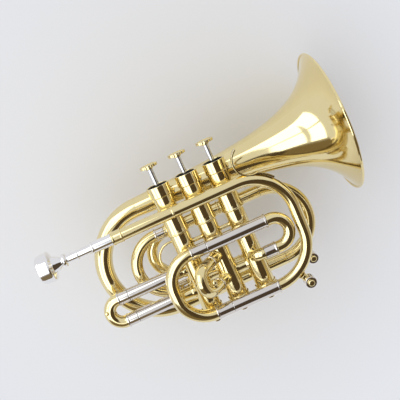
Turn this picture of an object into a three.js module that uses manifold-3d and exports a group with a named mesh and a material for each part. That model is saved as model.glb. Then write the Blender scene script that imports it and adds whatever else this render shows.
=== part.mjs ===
// Pocket trumpet: a full-length trumpet wound into tight loops round its three valves.
// Millimetres. +X points along the bell, +Z up through the finger buttons, +Y to the player's left.
// The origin is on the second valve's axis, level with the leadpipe.
import * as THREE from 'three';
import { mergeVertices } from 'three/addons/utils/BufferGeometryUtils.js';
import Module from 'manifold-3d';

const wasm = await Module();
wasm.setup();

// Fits
const SEAT_GAP = 0.3;
const RUNNING_GAP = 0.1;
const OVERRUN = 2;

// Facets
const ROUND_SIDES = 14;
const TUBE_SIDES = 10;
const BORE_SIDES = 8;
const PORT_SIDES = 6;
const STEPS_PER_TURN = 16;
const BELL_SIDES = 26;
const BELL_STATIONS = 9;

// Valve block
const VALVE_PITCH = 26.5;
const CASING_BORE = 8.5;
const CASING_WALL = 0.6;
const CASING_TOP = 21.5;
const CASING_BOTTOM = -104;
const CASING_BEAD_Z = -21.6;
const CASING_BEAD_HEIGHT = 1.6;
const CASING_BEAD_PROUD = 0.4;

// Top caps, with a dished felt under each finger button
const TOP_CAP_RADIUS = 10.5;
const TOP_CAP_HEIGHT = 10.3;
const TOP_CAP_CROWN = 2.6;
const TOP_CAP_DISH_RADIUS = 8.8;
const TOP_CAP_DISH_DEPTH = 1.4;
const TOP_CAP_EDGE = 0.7;
const FELT_THICKNESS = 1;

// Bottom caps
const BOTTOM_CAP_RADIUS = 10;
const BOTTOM_CAP_HEIGHT = 12;
const BOTTOM_CAP_FLOOR = 2;
const BOTTOM_CAP_EDGE = 0.8;
const BOTTOM_CAP_DROP = 4.4;
const VENT_RADIUS = 2;
const NUB_RADIUS = 4;
const NUB_HEIGHT = 2.6;

// Pistons, stems and finger buttons
const STROKE = 15.5;
const PISTON_FOOT = -80;
const PISTON_WALL = 0.8;
const PISTON_CROWN = 3;
const CASING_PORT = 4.6;
const PISTON_PORT = 3.2;
const PORT_WALL = 0.5;
const PASSAGE_SWAY = 5;
const PASSAGE_STEPS = 3;
const STEM_RADIUS = 2.4;
const BUTTON_RADIUS = 8.1;
const BUTTON_THICKNESS = 4;
const BUTTON_DISH = 0.7;
const BUTTON_RIM = 1.2;
const BUTTON_FLUTES = 10;
const BUTTON_FLUTE_DEPTH = 0.5;
const BUTTON_COLLAR_RADIUS = 3.6;
const BUTTON_COLLAR_HEIGHT = 1.4;

// Piston springs
const SPRING_RADIUS = 6;
const SPRING_WIRE = 0.5;
const SPRING_TURNS = 4;
const SPRING_SIDES = 4;
const SPRING_STEPS = 6;

// Tubing
const TUBE_WALL = 0.6;
const BEAD_PROUD = 0.6;
const BEAD_LENGTH = 2;

// Knuckles and braces between the casings
const KNUCKLE_RADIUS = 4.9;
const BACK_KNUCKLE_Z = -65.5;
const FRONT_KNUCKLE_Z = -74;
const BRACE_RADIUS = 2;
const BRACE_Z = -34.2;

// Leadpipe side, in front of the valves
const LEAD_Y = -17;
const LEAD_RADIUS = 5.3;
const LEAD_START = -79.7;
const LEAD_JOINT = -22.3;
const COLLAR_LENGTH = 9.4;
const COLLAR_PROUD = 0.6;
const LEAD_BOW_X = 36.5;
const LEAD_BOW_RADIUS = 38.5;
const RECEIVER_LENGTH = 19.3;
const RECEIVER_RADIUS = 5.2;
const RECEIVER_RIM_PROUD = 0.5;
const RECEIVER_RIM_LENGTH = 2;
const LEAD_BRACE_RADIUS = 3;

// Mouthpiece
const MOUTHPIECE_LENGTH = 70.9;
const MOUTHPIECE_SEAT = 2.7;
const RIM_RADIUS = 13.5;
const RIM_FACE_RADIUS = 10.2;
const RIM_FLAT = 1.2;
const RIM_LENGTH = 12.2;
const RIM_LIP = 1;
const CUP_MOUTH_RADIUS = 8.3;
const CUP_DEPTH = 12;
const CUP_LENGTH = 20.1;
const CUP_BODY_RADIUS = 7.4;
const CUP_NECK_RADIUS = 4.4;
const THROAT_RADIUS = 1.85;
const THROAT_LENGTH = 3;
const CUP_BEAD_RADIUS = 6.1;
const CUP_BEAD_X = 23.6;
const CUP_BEAD_LENGTH = 3.4;
const NECK_RADIUS = 3.5;
const SHANK_RADIUS = 3.9;
const SHANK_RING_X = 35.6;
const SHANK_RING_PROUD = 0.5;
const SHANK_RING_LENGTH = 1.4;
const SHANK_STEP_X = 43.3;
const SHANK_TIP_RADIUS = 3.7;
const BACKBORE_RADIUS = 3.1;
// The cup's bowl: share of its depth above the throat, and share of its mouth's radius
const CUP_BOWL_SHARES = [[0.17, 0.5], [0.5, 0.9]];

// Main tuning slide
const MAIN_TOP_Z = -40.3;
const MAIN_FOOT_Z = -99.5;
const MAIN_RADIUS = 5.8;
const MAIN_SPLIT_X = -8.3;
const MAIN_FERRULE = 15.2;
const MAIN_CROOK_RUN = 1;
const MAIN_CROOK_RADIUS = 26;
const MAIN_INSERT = 36;

// Small bow from the main slide's upper leg into the third valve, inside the leadpipe's bow
const SMALL_BOW_RADIUS = 13.1;
const SMALL_BOW_TUBE = 5.4;
const SMALL_BOW_CLEARANCE = 0.7;
const SMALL_BOW_UPPER_RUN = 2.4;
const SMALL_BOW_LOWER_RUN = 2.9;
const INLET_FERRULE_PROUD = 0.4;
const ELBOW_RADIUS = 8;
const ELBOW_RUN = 3;
const INLET_ELBOW_RUN = 1.1;

// First valve slide
const FIRST_TOP_Z = -55.9;
const FIRST_FOOT_Z = -77.6;
const FIRST_RADIUS = 5.8;
const FIRST_SPLIT_X = -90.1;
const FIRST_FERRULE = 10.5;
const FIRST_CROOK_RUN = 0.8;
const FIRST_INSERT = 40;

// Second valve slide, which leaves its valve slantwise towards the player's right
const SECOND_TURN = 54 * Math.PI / 180;
const SECOND_TOP_Z = -54.5;
const SECOND_FOOT_Z = -76.5;
const SECOND_RADIUS = 5.4;
const SECOND_SPLIT_X = -17.5;
const SECOND_FERRULE = 2.4;
const SECOND_CROOK_RUN = 11;
const SECOND_INSERT = 7;
const KNOB_RADIUS = 3;
const KNOB_BOSS_RADIUS = 3.4;
const KNOB_BOSS_LENGTH = 2.2;
const KNOB_REACH = 10;
const KNOB_SETBACK = 2;
const KNOB_HEADING_SHARES = [-0.36, -0.5, 0.78];

// Third valve slide, behind the valves
const THIRD_Y = 16;
const THIRD_TOP_Z = -19.6;
const THIRD_FOOT_Z = -74.5;
const THIRD_RADIUS = 5.6;
const THIRD_SPLIT_X = -38.6;
const THIRD_FERRULE = 9;
const THIRD_CROOK_RUN = 0.6;
const THIRD_INSERT = 30;

// Bell and its bows, on the far side
const BELL_Y = 25;
const BELL_Z = 9.8;
const BELL_RIM_X = 140;
const BELL_RIM_RADIUS = 65.3;
const BELL_WALL = 0.8;
const BELL_ROLL = 1.3;
const BELL_STEM_X = -53.5;
const BELL_STEM_RADIUS = 9.2;
const BELL_FLARE_LENGTH = 26;
const BELL_BOW_RADIUS = 51;
const BELL_BOW_END_RADIUS = 7.3;
const FRONT_BOW_X = 55.3;
const FRONT_BOW_TUBE = 6;
const RETURN_Y = 28;
const RETURN_DROP = 32.8;
const RETURN_END_RADIUS = 5.4;
const TAIL_BOW_X = -39.1;
const TAIL_Z = -62.8;

// Finger ring and little-finger hook
const RING_X = -38.5;
const RING_Z = -43.9;
const RING_RADIUS = 14.3;
const RING_WIRE = 1.15;
const RING_WIRE_SIDES = 6;
const HOOK_WIDTH = 7;
const HOOK_THICKNESS = 1.5;
const HOOK_RADIUS = 12.7;
const HOOK_X = 54;
const HOOK_Z = 15.7;
const HOOK_FOOT_START = 44 * Math.PI / 180;
const HOOK_FOOT_END = 64 * Math.PI / 180;
const HOOK_NECK = 244 * Math.PI / 180;
const HOOK_TIP = 86 * Math.PI / 180;
const HOOK_FOOT_STEPS = 4;
const HOOK_STEPS = 10;

// Water keys: push-button cylinders on short bosses
const KEY_RADIUS = 5.3;
const KEY_LENGTH = 12;
const KEY_WALL = 1.6;
const KEY_STANDOFF = 9.1;
const KEY_BOSS_RADIUS = 3.2;
const KEY_BUTTON_RADIUS = 3;
const KEY_BUTTON_PROUD = 2.4;
const KEY_PISTON_LENGTH = 8;
const FRONT_KEY_ANGLE = -60.5 * Math.PI / 180;
const BACK_KEY_ANGLE = -63.5 * Math.PI / 180;

const casingRadius = CASING_BORE + CASING_WALL;
const capTop = CASING_TOP + TOP_CAP_CROWN + SEAT_GAP;
const pistonTop = CASING_TOP - SEAT_GAP;
const buttonSeat = capTop + STROKE;
const capFoot = CASING_BOTTOM - BOTTOM_CAP_DROP;
const valveX = [-VALVE_PITCH, 0, VALVE_PITCH];

const brass = new THREE.MeshStandardMaterial({ color: '#d9bd6a', roughness: 0.16, metalness: 1 });
const nickelSilver = new THREE.MeshStandardMaterial({ color: '#d8d6d2', roughness: 0.14, metalness: 1 });
const silverPlate = new THREE.MeshStandardMaterial({ color: '#f2f1ee', roughness: 0.1, metalness: 1 });
const monel = new THREE.MeshStandardMaterial({ color: '#b9b7b0', roughness: 0.25, metalness: 1 });
const springSteel = new THREE.MeshStandardMaterial({ color: '#a9abae', roughness: 0.35, metalness: 1 });
const felt = new THREE.MeshStandardMaterial({ color: '#241f1c', roughness: 0.95, metalness: 0 });

// Turns any three.js geometry into one closed, outward-facing body
function weld(geometry) {
  const bare = geometry.clone();
  for (const name of Object.keys(bare.attributes)) {
    if (name !== 'position') bare.deleteAttribute(name);
  }
  const merged = mergeVertices(bare, 1e-4);
  const index = merged.index.array;
  const place = merged.attributes.position;
  const a = new THREE.Vector3();
  const b = new THREE.Vector3();
  const c = new THREE.Vector3();
  const kept = [];
  let volume = 0;
  for (let i = 0; i < index.length; i += 3) {
    const [p, q, r] = [index[i], index[i + 1], index[i + 2]];
    if (p === q || q === r || r === p) continue;
    a.fromBufferAttribute(place, p);
    b.fromBufferAttribute(place, q);
    c.fromBufferAttribute(place, r);
    volume += a.dot(b.cross(c));
    kept.push(p, q, r);
  }
  if (volume < 0) {
    for (let i = 0; i < kept.length; i += 3) [kept[i], kept[i + 1]] = [kept[i + 1], kept[i]];
  }
  merged.setIndex(kept);
  return merged;
}

function solid(geometry) {
  const welded = weld(geometry);
  return new wasm.Manifold(new wasm.Mesh({
    numProp: 3,
    vertProperties: Float32Array.from(welded.attributes.position.array),
    triVerts: Uint32Array.from(welded.index.array),
  }));
}

function fromSolid(body) {
  const mesh = body.getMesh();
  const geometry = new THREE.BufferGeometry();
  geometry.setAttribute('position', new THREE.BufferAttribute(mesh.vertProperties, 3));
  geometry.setIndex(new THREE.BufferAttribute(mesh.triVerts, 1));
  return geometry;
}

function cut(geometry, ...cutters) {
  return fromSolid(cutters.reduce((body, cutter) => body.subtract(solid(cutter)), solid(geometry)));
}

function join(...geometries) {
  const [first, ...rest] = geometries.map(solid);
  return fromSolid(rest.reduce((body, piece) => body.add(piece), first));
}

// Revolved pieces: the profile is [along, radius] pairs and closes on itself
function revolve(profile, sides = TUBE_SIDES) {
  const points = profile.map(([along, radius]) => new THREE.Vector2(radius, along));
  points.push(points[0].clone());
  return new THREE.LatheGeometry(points, sides);
}

const upright = (profile, sides = ROUND_SIDES) => revolve(profile, sides).rotateX(Math.PI / 2);
const lengthwise = (profile, sides = TUBE_SIDES) => revolve(profile, sides).rotateZ(-Math.PI / 2);

function upCylinder(radius, low, high, sides = ROUND_SIDES) {
  return new THREE.CylinderGeometry(radius, radius, high - low, sides)
    .rotateX(Math.PI / 2).translate(0, 0, (low + high) / 2);
}

// A cylinder from one point to another
function rod(from, to, radius, sides = BORE_SIDES) {
  const span = to.clone().sub(from);
  const turn = new THREE.Quaternion().setFromUnitVectors(UP_AXIS, span.clone().normalize());
  return new THREE.CylinderGeometry(radius, radius, span.length(), sides)
    .applyQuaternion(turn).translate(...from.clone().add(to).divideScalar(2).toArray());
}
const UP_AXIS = new THREE.Vector3(0, 1, 0);

const at = (x, y, z) => new THREE.Vector3(x, y, z);
const CENTRE = at(0, 0, 0);
const FORWARD = at(1, 0, 0);
const BACK = at(-1, 0, 0);
const DOWN = at(0, 0, -1);
const RIGHT = at(0, -1, 0);
const LEFT = at(0, 1, 0);
const KNOB_HEADING = at(...KNOB_HEADING_SHARES).normalize();

// A tube's centre line, made of straight runs and round bends, laid one after another
class Route extends THREE.Curve {
  constructor(start, heading) {
    super();
    this.end = start.clone();
    this.heading = heading.clone();
    this.runs = [];
    this.steps = 0;
  }

  straight(length) {
    const from = this.end.clone();
    const heading = this.heading.clone();
    this.runs.push({ steps: 1, point: (t) => from.clone().addScaledVector(heading, length * t) });
    this.steps += 1;
    this.end.addScaledVector(heading, length);
    return this;
  }

  bend(radius, angle, side) {
    const from = this.end.clone();
    const heading = this.heading.clone();
    const point = (t) => from.clone()
      .addScaledVector(heading, radius * Math.sin(angle * t))
      .addScaledVector(side, radius * (1 - Math.cos(angle * t)));
    const steps = Math.round(STEPS_PER_TURN * angle / (2 * Math.PI));
    this.runs.push({ steps, point });
    this.steps += steps;
    this.end = point(1);
    this.heading = heading.clone().multiplyScalar(Math.cos(angle)).addScaledVector(side, Math.sin(angle));
    return this;
  }

  getPoint(t) {
    let along = t * this.steps;
    for (const run of this.runs) {
      if (along <= run.steps || run === this.runs[this.runs.length - 1]) {
        return run.point(along / run.steps);
      }
      along -= run.steps;
    }
    return this.end.clone();
  }

  getUtoTmapping(u) {
    return u;
  }
}

function circle(radius, sides) {
  return Array.from({ length: sides }, (_, i) => {
    const angle = 2 * Math.PI * i / sides;
    return new THREE.Vector2(radius * Math.cos(angle), radius * Math.sin(angle));
  });
}

// A hollow tube of one size along a route
function tube(route, radius, wall = TUBE_WALL) {
  const section = new THREE.Shape(circle(radius, TUBE_SIDES));
  section.holes.push(new THREE.Path(circle(radius - wall, BORE_SIDES)));
  return new THREE.ExtrudeGeometry(section, { extrudePath: route, steps: route.steps });
}

function solidTube(route, radius) {
  return new THREE.ExtrudeGeometry(new THREE.Shape(circle(radius, TUBE_SIDES)), {
    extrudePath: route, steps: route.steps,
  });
}

// A hollow body along a route in one plane. Each ring is [step, outer radius, bore radius], and two
// rings at one step make a shoulder.
function loft(route, planeNormal, rings) {
  const places = [];
  const faces = [];
  for (const [step, ...radii] of rings) {
    const centre = route.getPoint(step / route.steps);
    const across = route.getTangent(step / route.steps).cross(planeNormal).normalize();
    for (const radius of radii) {
      for (const spoke of circle(radius, TUBE_SIDES)) {
        places.push(...centre.clone().addScaledVector(across, spoke.x)
          .addScaledVector(planeNormal, spoke.y).toArray());
      }
    }
  }
  const quad = (a, b, c, d) => faces.push(a, b, c, a, c, d);
  const outer = (ring, side) => 2 * ring * TUBE_SIDES + side % TUBE_SIDES;
  const inner = (ring, side) => outer(ring, side) + TUBE_SIDES;
  const last = rings.length - 1;
  for (let side = 0; side < TUBE_SIDES; side++) {
    for (let ring = 0; ring < last; ring++) {
      quad(outer(ring, side), outer(ring, side + 1), outer(ring + 1, side + 1), outer(ring + 1, side));
      quad(inner(ring, side), inner(ring + 1, side), inner(ring + 1, side + 1), inner(ring, side + 1));
    }
    quad(outer(0, side), inner(0, side), inner(0, side + 1), outer(0, side + 1));
    quad(outer(last, side), outer(last, side + 1), inner(last, side + 1), inner(last, side));
  }
  const geometry = new THREE.BufferGeometry();
  geometry.setAttribute('position', new THREE.Float32BufferAttribute(places, 3));
  geometry.setIndex(faces);
  return geometry;
}

const trumpet = new THREE.Group();

function add(name, geometry, material) {
  const mesh = new THREE.Mesh(weld(geometry), material);
  mesh.name = name;
  trumpet.add(mesh);
  return mesh;
}

// A casing's outside, with its bead, grown by a gap
function casingOutside(gap) {
  return [
    [CASING_BOTTOM, casingRadius + gap], [CASING_BEAD_Z - CASING_BEAD_HEIGHT / 2, casingRadius + gap],
    [CASING_BEAD_Z, casingRadius + CASING_BEAD_PROUD + gap],
    [CASING_BEAD_Z + CASING_BEAD_HEIGHT / 2, casingRadius + gap], [CASING_TOP, casingRadius + gap],
  ];
}

const casingClearance = (index) => upright(
  [[CASING_BOTTOM, 0], ...casingOutside(SEAT_GAP), [CASING_TOP, 0]]).translate(valveX[index], 0, 0);

// A passage through a piston, from one port to another, swaying aside to clear the other passages
function passage([fromHeading, fromZ], [toHeading, toZ], sway, radius) {
  const reach = casingRadius + OVERRUN;
  const edge = (heading, z) => at(heading.x * reach, heading.y * reach, z);
  const middle = (z) => at(sway.x * PASSAGE_SWAY, sway.y * PASSAGE_SWAY, z);
  const line = new THREE.CubicBezierCurve3(
    edge(fromHeading, fromZ), middle(fromZ), middle(toZ), edge(toHeading, toZ));
  return new THREE.ExtrudeGeometry(new THREE.Shape(circle(radius, PORT_SIDES)), {
    extrudePath: line, steps: PASSAGE_STEPS,
  });
}

// Three passages: straight on while the piston is up, and out to the slide and back while it is down
function ports({ inlet, outlet, slide, top, foot, sways }, radius) {
  const raise = ([heading, z]) => [heading, z + STROKE];
  return [
    passage(inlet, outlet, sways[0], radius),
    passage(raise(inlet), raise([slide, foot]), sways[1], radius),
    passage(raise(outlet), raise([slide, top]), sways[2], radius),
  ];
}

function piston(valve) {
  const radius = CASING_BORE - RUNNING_GAP;
  const body = solid(upCylinder(radius, PISTON_FOOT, pistonTop));
  const hollow = solid(upCylinder(radius - PISTON_WALL, PISTON_FOOT - OVERRUN, pistonTop - PISTON_CROWN));
  const stem = solid(upCylinder(STEM_RADIUS, pistonTop - PISTON_CROWN / 2, buttonSeat - SEAT_GAP,
    BORE_SIDES));
  const passageWalls = ports(valve, PISTON_PORT + PORT_WALL).map(solid)
    .reduce((all, port) => all.add(port)).intersect(body);
  const shell = body.subtract(hollow).add(passageWalls).add(stem);
  return fromSolid(ports(valve, PISTON_PORT).map(solid).reduce((rest, port) => rest.subtract(port), shell));
}

const smallBowFoot = MAIN_TOP_Z - 2 * SMALL_BOW_RADIUS;
const smallBowX = LEAD_BOW_X + LEAD_BOW_RADIUS - LEAD_RADIUS - SMALL_BOW_CLEARANCE
  - SMALL_BOW_TUBE - SMALL_BOW_RADIUS;
const mainUpperEnd = smallBowX - SMALL_BOW_UPPER_RUN - SEAT_GAP;
const ferruleEnd = smallBowX - SMALL_BOW_LOWER_RUN - SEAT_GAP;
const ferruleStart = valveX[2] + ELBOW_RADIUS + INLET_ELBOW_RUN + SEAT_GAP;
const secondHeading = at(-Math.cos(SECOND_TURN), -Math.sin(SECOND_TURN), 0);
const valves = [
  {
    inlet: [FORWARD, BACK_KNUCKLE_Z], outlet: [LEFT, TAIL_Z], slide: BACK,
    top: FIRST_TOP_Z, foot: FIRST_FOOT_Z, sways: [CENTRE, RIGHT, CENTRE],
  },
  {
    inlet: [FORWARD, FRONT_KNUCKLE_Z], outlet: [BACK, BACK_KNUCKLE_Z], slide: secondHeading,
    top: SECOND_TOP_Z, foot: SECOND_FOOT_Z, sways: [CENTRE, FORWARD, BACK],
  },
  {
    inlet: [RIGHT, smallBowFoot], outlet: [BACK, FRONT_KNUCKLE_Z], slide: LEFT,
    top: THIRD_TOP_Z, foot: THIRD_FOOT_Z, sways: [CENTRE, FORWARD, BACK],
  },
];

function casing({ inlet, outlet, slide, top, foot }) {
  const shell = upright([[CASING_BOTTOM, CASING_BORE], ...casingOutside(0), [CASING_TOP, CASING_BORE]]);
  const reach = casingRadius + OVERRUN;
  const holes = [inlet, outlet, [slide, top], [slide, foot]].map(([heading, z]) => rod(
    at(0, 0, z), at(heading.x * reach, heading.y * reach, z), CASING_PORT, PORT_SIDES));
  return cut(shell, ...holes);
}

function topCap() {
  const low = capTop - TOP_CAP_HEIGHT;
  const bore = casingRadius + SEAT_GAP;
  const stemHole = STEM_RADIUS + SEAT_GAP;
  const underside = CASING_TOP + SEAT_GAP;
  return upright([
    [low, bore], [low, TOP_CAP_RADIUS - TOP_CAP_EDGE / 2], [low + TOP_CAP_EDGE, TOP_CAP_RADIUS],
    [capTop - TOP_CAP_EDGE, TOP_CAP_RADIUS], [capTop, TOP_CAP_RADIUS - TOP_CAP_EDGE],
    [capTop, TOP_CAP_DISH_RADIUS], [capTop - TOP_CAP_DISH_DEPTH, TOP_CAP_DISH_RADIUS - TOP_CAP_EDGE],
    [capTop - TOP_CAP_DISH_DEPTH, stemHole], [underside, stemHole], [underside, bore],
  ]);
}

function feltWasher() {
  const seat = capTop - TOP_CAP_DISH_DEPTH + SEAT_GAP;
  const outer = TOP_CAP_DISH_RADIUS - TOP_CAP_EDGE - SEAT_GAP;
  const inner = STEM_RADIUS + SEAT_GAP;
  return upright([[seat, inner], [seat, outer], [seat + FELT_THICKNESS, outer],
    [seat + FELT_THICKNESS, inner]], TUBE_SIDES);
}

function bottomCap() {
  const rim = capFoot + BOTTOM_CAP_HEIGHT;
  const bore = casingRadius + SEAT_GAP;
  return upright([
    [rim, bore], [rim, BOTTOM_CAP_RADIUS], [capFoot + BOTTOM_CAP_EDGE, BOTTOM_CAP_RADIUS],
    [capFoot, BOTTOM_CAP_RADIUS - BOTTOM_CAP_EDGE], [capFoot, NUB_RADIUS],
    [capFoot - NUB_HEIGHT, NUB_RADIUS - BOTTOM_CAP_EDGE], [capFoot - NUB_HEIGHT, VENT_RADIUS],
    [capFoot + BOTTOM_CAP_FLOOR, VENT_RADIUS], [capFoot + BOTTOM_CAP_FLOOR, bore],
  ]);
}

// The button's edge is fluted all round for grip
function fingerButton() {
  const outline = new THREE.Shape(Array.from({ length: 2 * BUTTON_FLUTES }, (_, i) => {
    const radius = BUTTON_RADIUS - (i % 2) * BUTTON_FLUTE_DEPTH;
    const angle = Math.PI * i / BUTTON_FLUTES;
    return new THREE.Vector2(radius * Math.cos(angle), radius * Math.sin(angle));
  }));
  const low = buttonSeat + BUTTON_COLLAR_HEIGHT;
  const disc = new THREE.ExtrudeGeometry(outline, {
    depth: BUTTON_THICKNESS - BUTTON_COLLAR_HEIGHT, bevelEnabled: false,
  }).translate(0, 0, low);
  const collar = upCylinder(BUTTON_COLLAR_RADIUS, buttonSeat, low + BUTTON_DISH / 2, BORE_SIDES);
  const top = buttonSeat + BUTTON_THICKNESS;
  const dish = upCylinder(BUTTON_RADIUS - BUTTON_RIM, top - BUTTON_DISH, top + OVERRUN, BUTTON_FLUTES);
  return cut(join(disc, collar), dish);
}

class Coil extends THREE.Curve {
  constructor(radius, low, high, turns) {
    super();
    Object.assign(this, { radius, low, high, turns });
  }

  getPoint(t) {
    const angle = 2 * Math.PI * this.turns * t;
    return at(this.radius * Math.cos(angle), this.radius * Math.sin(angle),
      THREE.MathUtils.lerp(this.low, this.high, t));
  }
}

function pistonSpring() {
  const low = capFoot + BOTTOM_CAP_FLOOR + SPRING_WIRE + SEAT_GAP;
  const high = PISTON_FOOT - SPRING_WIRE - SEAT_GAP;
  const coil = new Coil(SPRING_RADIUS, low, high, SPRING_TURNS);
  return new THREE.ExtrudeGeometry(new THREE.Shape(circle(SPRING_WIRE, SPRING_SIDES)), {
    extrudePath: coil, steps: SPRING_TURNS * SPRING_STEPS,
  });
}

valves.forEach((valve, index) => {
  const number = index + 1;
  const x = valveX[index];
  add(`casing_${number}`, casing(valve), brass).position.x = x;
  add(`top_cap_${number}`, topCap(), brass).position.x = x;
  add(`cap_felt_${number}`, feltWasher(), felt).position.x = x;
  add(`bottom_cap_${number}`, bottomCap(), brass).position.x = x;
  add(`piston_${number}`, piston(valve), monel).position.x = x;
  add(`finger_button_${number}`, fingerButton(), brass).position.x = x;
  add(`piston_spring_${number}`, pistonSpring(), springSteel).position.x = x;
});

// Knuckles and braces run from one casing to the next and are shaped to both
function between(index, radius, z, bore) {
  const from = at(valveX[index], 0, z);
  const to = at(valveX[index + 1], 0, z);
  const cutters = [casingClearance(index), casingClearance(index + 1)];
  if (bore) cutters.push(rod(from, to, bore));
  return cut(rod(from, to, radius, TUBE_SIDES), ...cutters);
}
for (const [index, knuckleZ] of [BACK_KNUCKLE_Z, FRONT_KNUCKLE_Z].entries()) {
  const pair = `${index + 1}_${index + 2}`;
  add(`knuckle_${pair}`, between(index, KNUCKLE_RADIUS, knuckleZ, KNUCKLE_RADIUS - TUBE_WALL), brass);
  add(`casing_brace_${pair}`, between(index, BRACE_RADIUS, BRACE_Z, 0), brass);
}

function mouthpiece() {
  const start = LEAD_START + MOUTHPIECE_SEAT - MOUTHPIECE_LENGTH;
  const x = (along) => start + along;
  const beadLow = CUP_BEAD_X - CUP_BEAD_LENGTH / 2;
  const beadHigh = CUP_BEAD_X + CUP_BEAD_LENGTH / 2;
  const cupFloor = RIM_LIP + CUP_DEPTH;
  return lengthwise([
    [x(RIM_LIP), CUP_MOUTH_RADIUS], [x(0), RIM_FACE_RADIUS - RIM_FLAT], [x(0), RIM_FACE_RADIUS],
    [x(RIM_LIP), RIM_FACE_RADIUS + RIM_LIP], [x(RIM_LENGTH - RIM_LIP), RIM_RADIUS],
    [x(RIM_LENGTH), RIM_RADIUS - RIM_LIP], [x(RIM_LENGTH + RIM_LIP), CUP_BODY_RADIUS],
    [x(CUP_LENGTH), CUP_NECK_RADIUS], [x(beadLow), NECK_RADIUS],
    [x(beadLow), CUP_BEAD_RADIUS - RIM_LIP], [x(CUP_BEAD_X), CUP_BEAD_RADIUS],
    [x(beadHigh), CUP_BEAD_RADIUS - RIM_LIP], [x(beadHigh), NECK_RADIUS],
    [x(SHANK_RING_X - SHANK_RING_LENGTH / 2), SHANK_RADIUS],
    [x(SHANK_RING_X), SHANK_RADIUS + SHANK_RING_PROUD],
    [x(SHANK_RING_X + SHANK_RING_LENGTH / 2), SHANK_RADIUS],
    [x(SHANK_STEP_X), SHANK_RADIUS], [x(MOUTHPIECE_LENGTH), SHANK_TIP_RADIUS],
    [x(MOUTHPIECE_LENGTH), BACKBORE_RADIUS],
    [x(cupFloor + THROAT_LENGTH), THROAT_RADIUS], [x(cupFloor), THROAT_RADIUS],
    ...CUP_BOWL_SHARES.map(([rise, width]) => [x(cupFloor - rise * CUP_DEPTH), width * CUP_MOUTH_RADIUS]),
  ]).translate(0, LEAD_Y, 0);
}
add('mouthpiece', mouthpiece(), silverPlate);

function receiver() {
  const low = LEAD_START - RECEIVER_LENGTH;
  const high = LEAD_START - SEAT_GAP;
  const bore = SHANK_RADIUS + SEAT_GAP;
  const rim = RECEIVER_RADIUS + RECEIVER_RIM_PROUD;
  return lengthwise([
    [low, bore], [low, rim], [low + RECEIVER_RIM_LENGTH, rim],
    [low + RECEIVER_RIM_LENGTH, RECEIVER_RADIUS], [high, RECEIVER_RADIUS], [high, bore],
  ]).translate(0, LEAD_Y, 0);
}
add('mouthpiece_receiver', receiver(), silverPlate);

function leadpipe() {
  const bore = LEAD_RADIUS - TUBE_WALL;
  const collar = LEAD_RADIUS + COLLAR_PROUD;
  const collarEnd = LEAD_START + COLLAR_LENGTH;
  return lengthwise([
    [LEAD_START, bore], [LEAD_START, collar + BEAD_PROUD / 2],
    [LEAD_START + BEAD_LENGTH, collar + BEAD_PROUD / 2], [LEAD_START + BEAD_LENGTH, collar],
    [collarEnd, collar], [collarEnd, LEAD_RADIUS], [LEAD_JOINT - BEAD_LENGTH, LEAD_RADIUS],
    [LEAD_JOINT - BEAD_LENGTH, collar], [LEAD_JOINT, collar], [LEAD_JOINT, bore],
  ]).translate(0, LEAD_Y, 0);
}
add('leadpipe', leadpipe(), brass);

const leadBowDrop = -MAIN_FOOT_Z - 2 * LEAD_BOW_RADIUS;
const leadBow = new Route(at(LEAD_JOINT, LEAD_Y, 0), FORWARD)
  .straight(LEAD_BOW_X - LEAD_JOINT)
  .bend(LEAD_BOW_RADIUS, Math.PI / 2, DOWN)
  .straight(leadBowDrop)
  .bend(LEAD_BOW_RADIUS, Math.PI / 2, BACK);
add('leadpipe_bow', tube(leadBow, LEAD_RADIUS), brass);

const braceReach = at(0, LEAD_Y, 0);
const leadClearance = rod(at(LEAD_START, LEAD_Y, 0), at(LEAD_BOW_X, LEAD_Y, 0),
  LEAD_RADIUS + SEAT_GAP, TUBE_SIDES);
add('leadpipe_brace', cut(rod(braceReach, at(0, 0, 0), LEAD_BRACE_RADIUS, TUBE_SIDES),
  leadClearance, casingClearance(1)), brass);

// A fixed outer tube of a slide, with a bead at the end that the slide doesn't enter
function slideSleeve(low, high, radius) {
  const bore = radius - TUBE_WALL;
  return lengthwise([
    [low, bore], [low, radius], [high - BEAD_LENGTH, radius], [high - BEAD_LENGTH, radius + BEAD_PROUD],
    [high, radius + BEAD_PROUD], [high, bore],
  ]);
}

// A slide that pulls out towards -X: an inner leg and a ferrule at each end of a crook
function slideRoute({ split, ferrule, run, bendRadius, top, foot, insert }) {
  const route = new Route(at(split + insert, 0, top), BACK)
    .straight(insert + SEAT_GAP)
    .straight(ferrule + run)
    .bend(bendRadius, Math.PI / 2, DOWN);
  if (top - foot > 2 * bendRadius) route.straight(top - foot - 2 * bendRadius);
  return route.bend(bendRadius, Math.PI / 2, FORWARD)
    .straight(ferrule + run)
    .straight(insert + SEAT_GAP);
}

function pullSlide(sizes) {
  const { radius } = sizes;
  const route = slideRoute(sizes);
  const legRadius = radius - TUBE_WALL - RUNNING_GAP;
  const bore = legRadius - TUBE_WALL;
  const rings = [[0, legRadius, bore], [1, legRadius, bore]];
  for (let step = 1; step < route.steps; step++) rings.push([step, radius, bore]);
  rings.push([route.steps - 1, legRadius, bore], [route.steps, legRadius, bore]);
  return loft(route, LEFT, rings);
}

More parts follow.
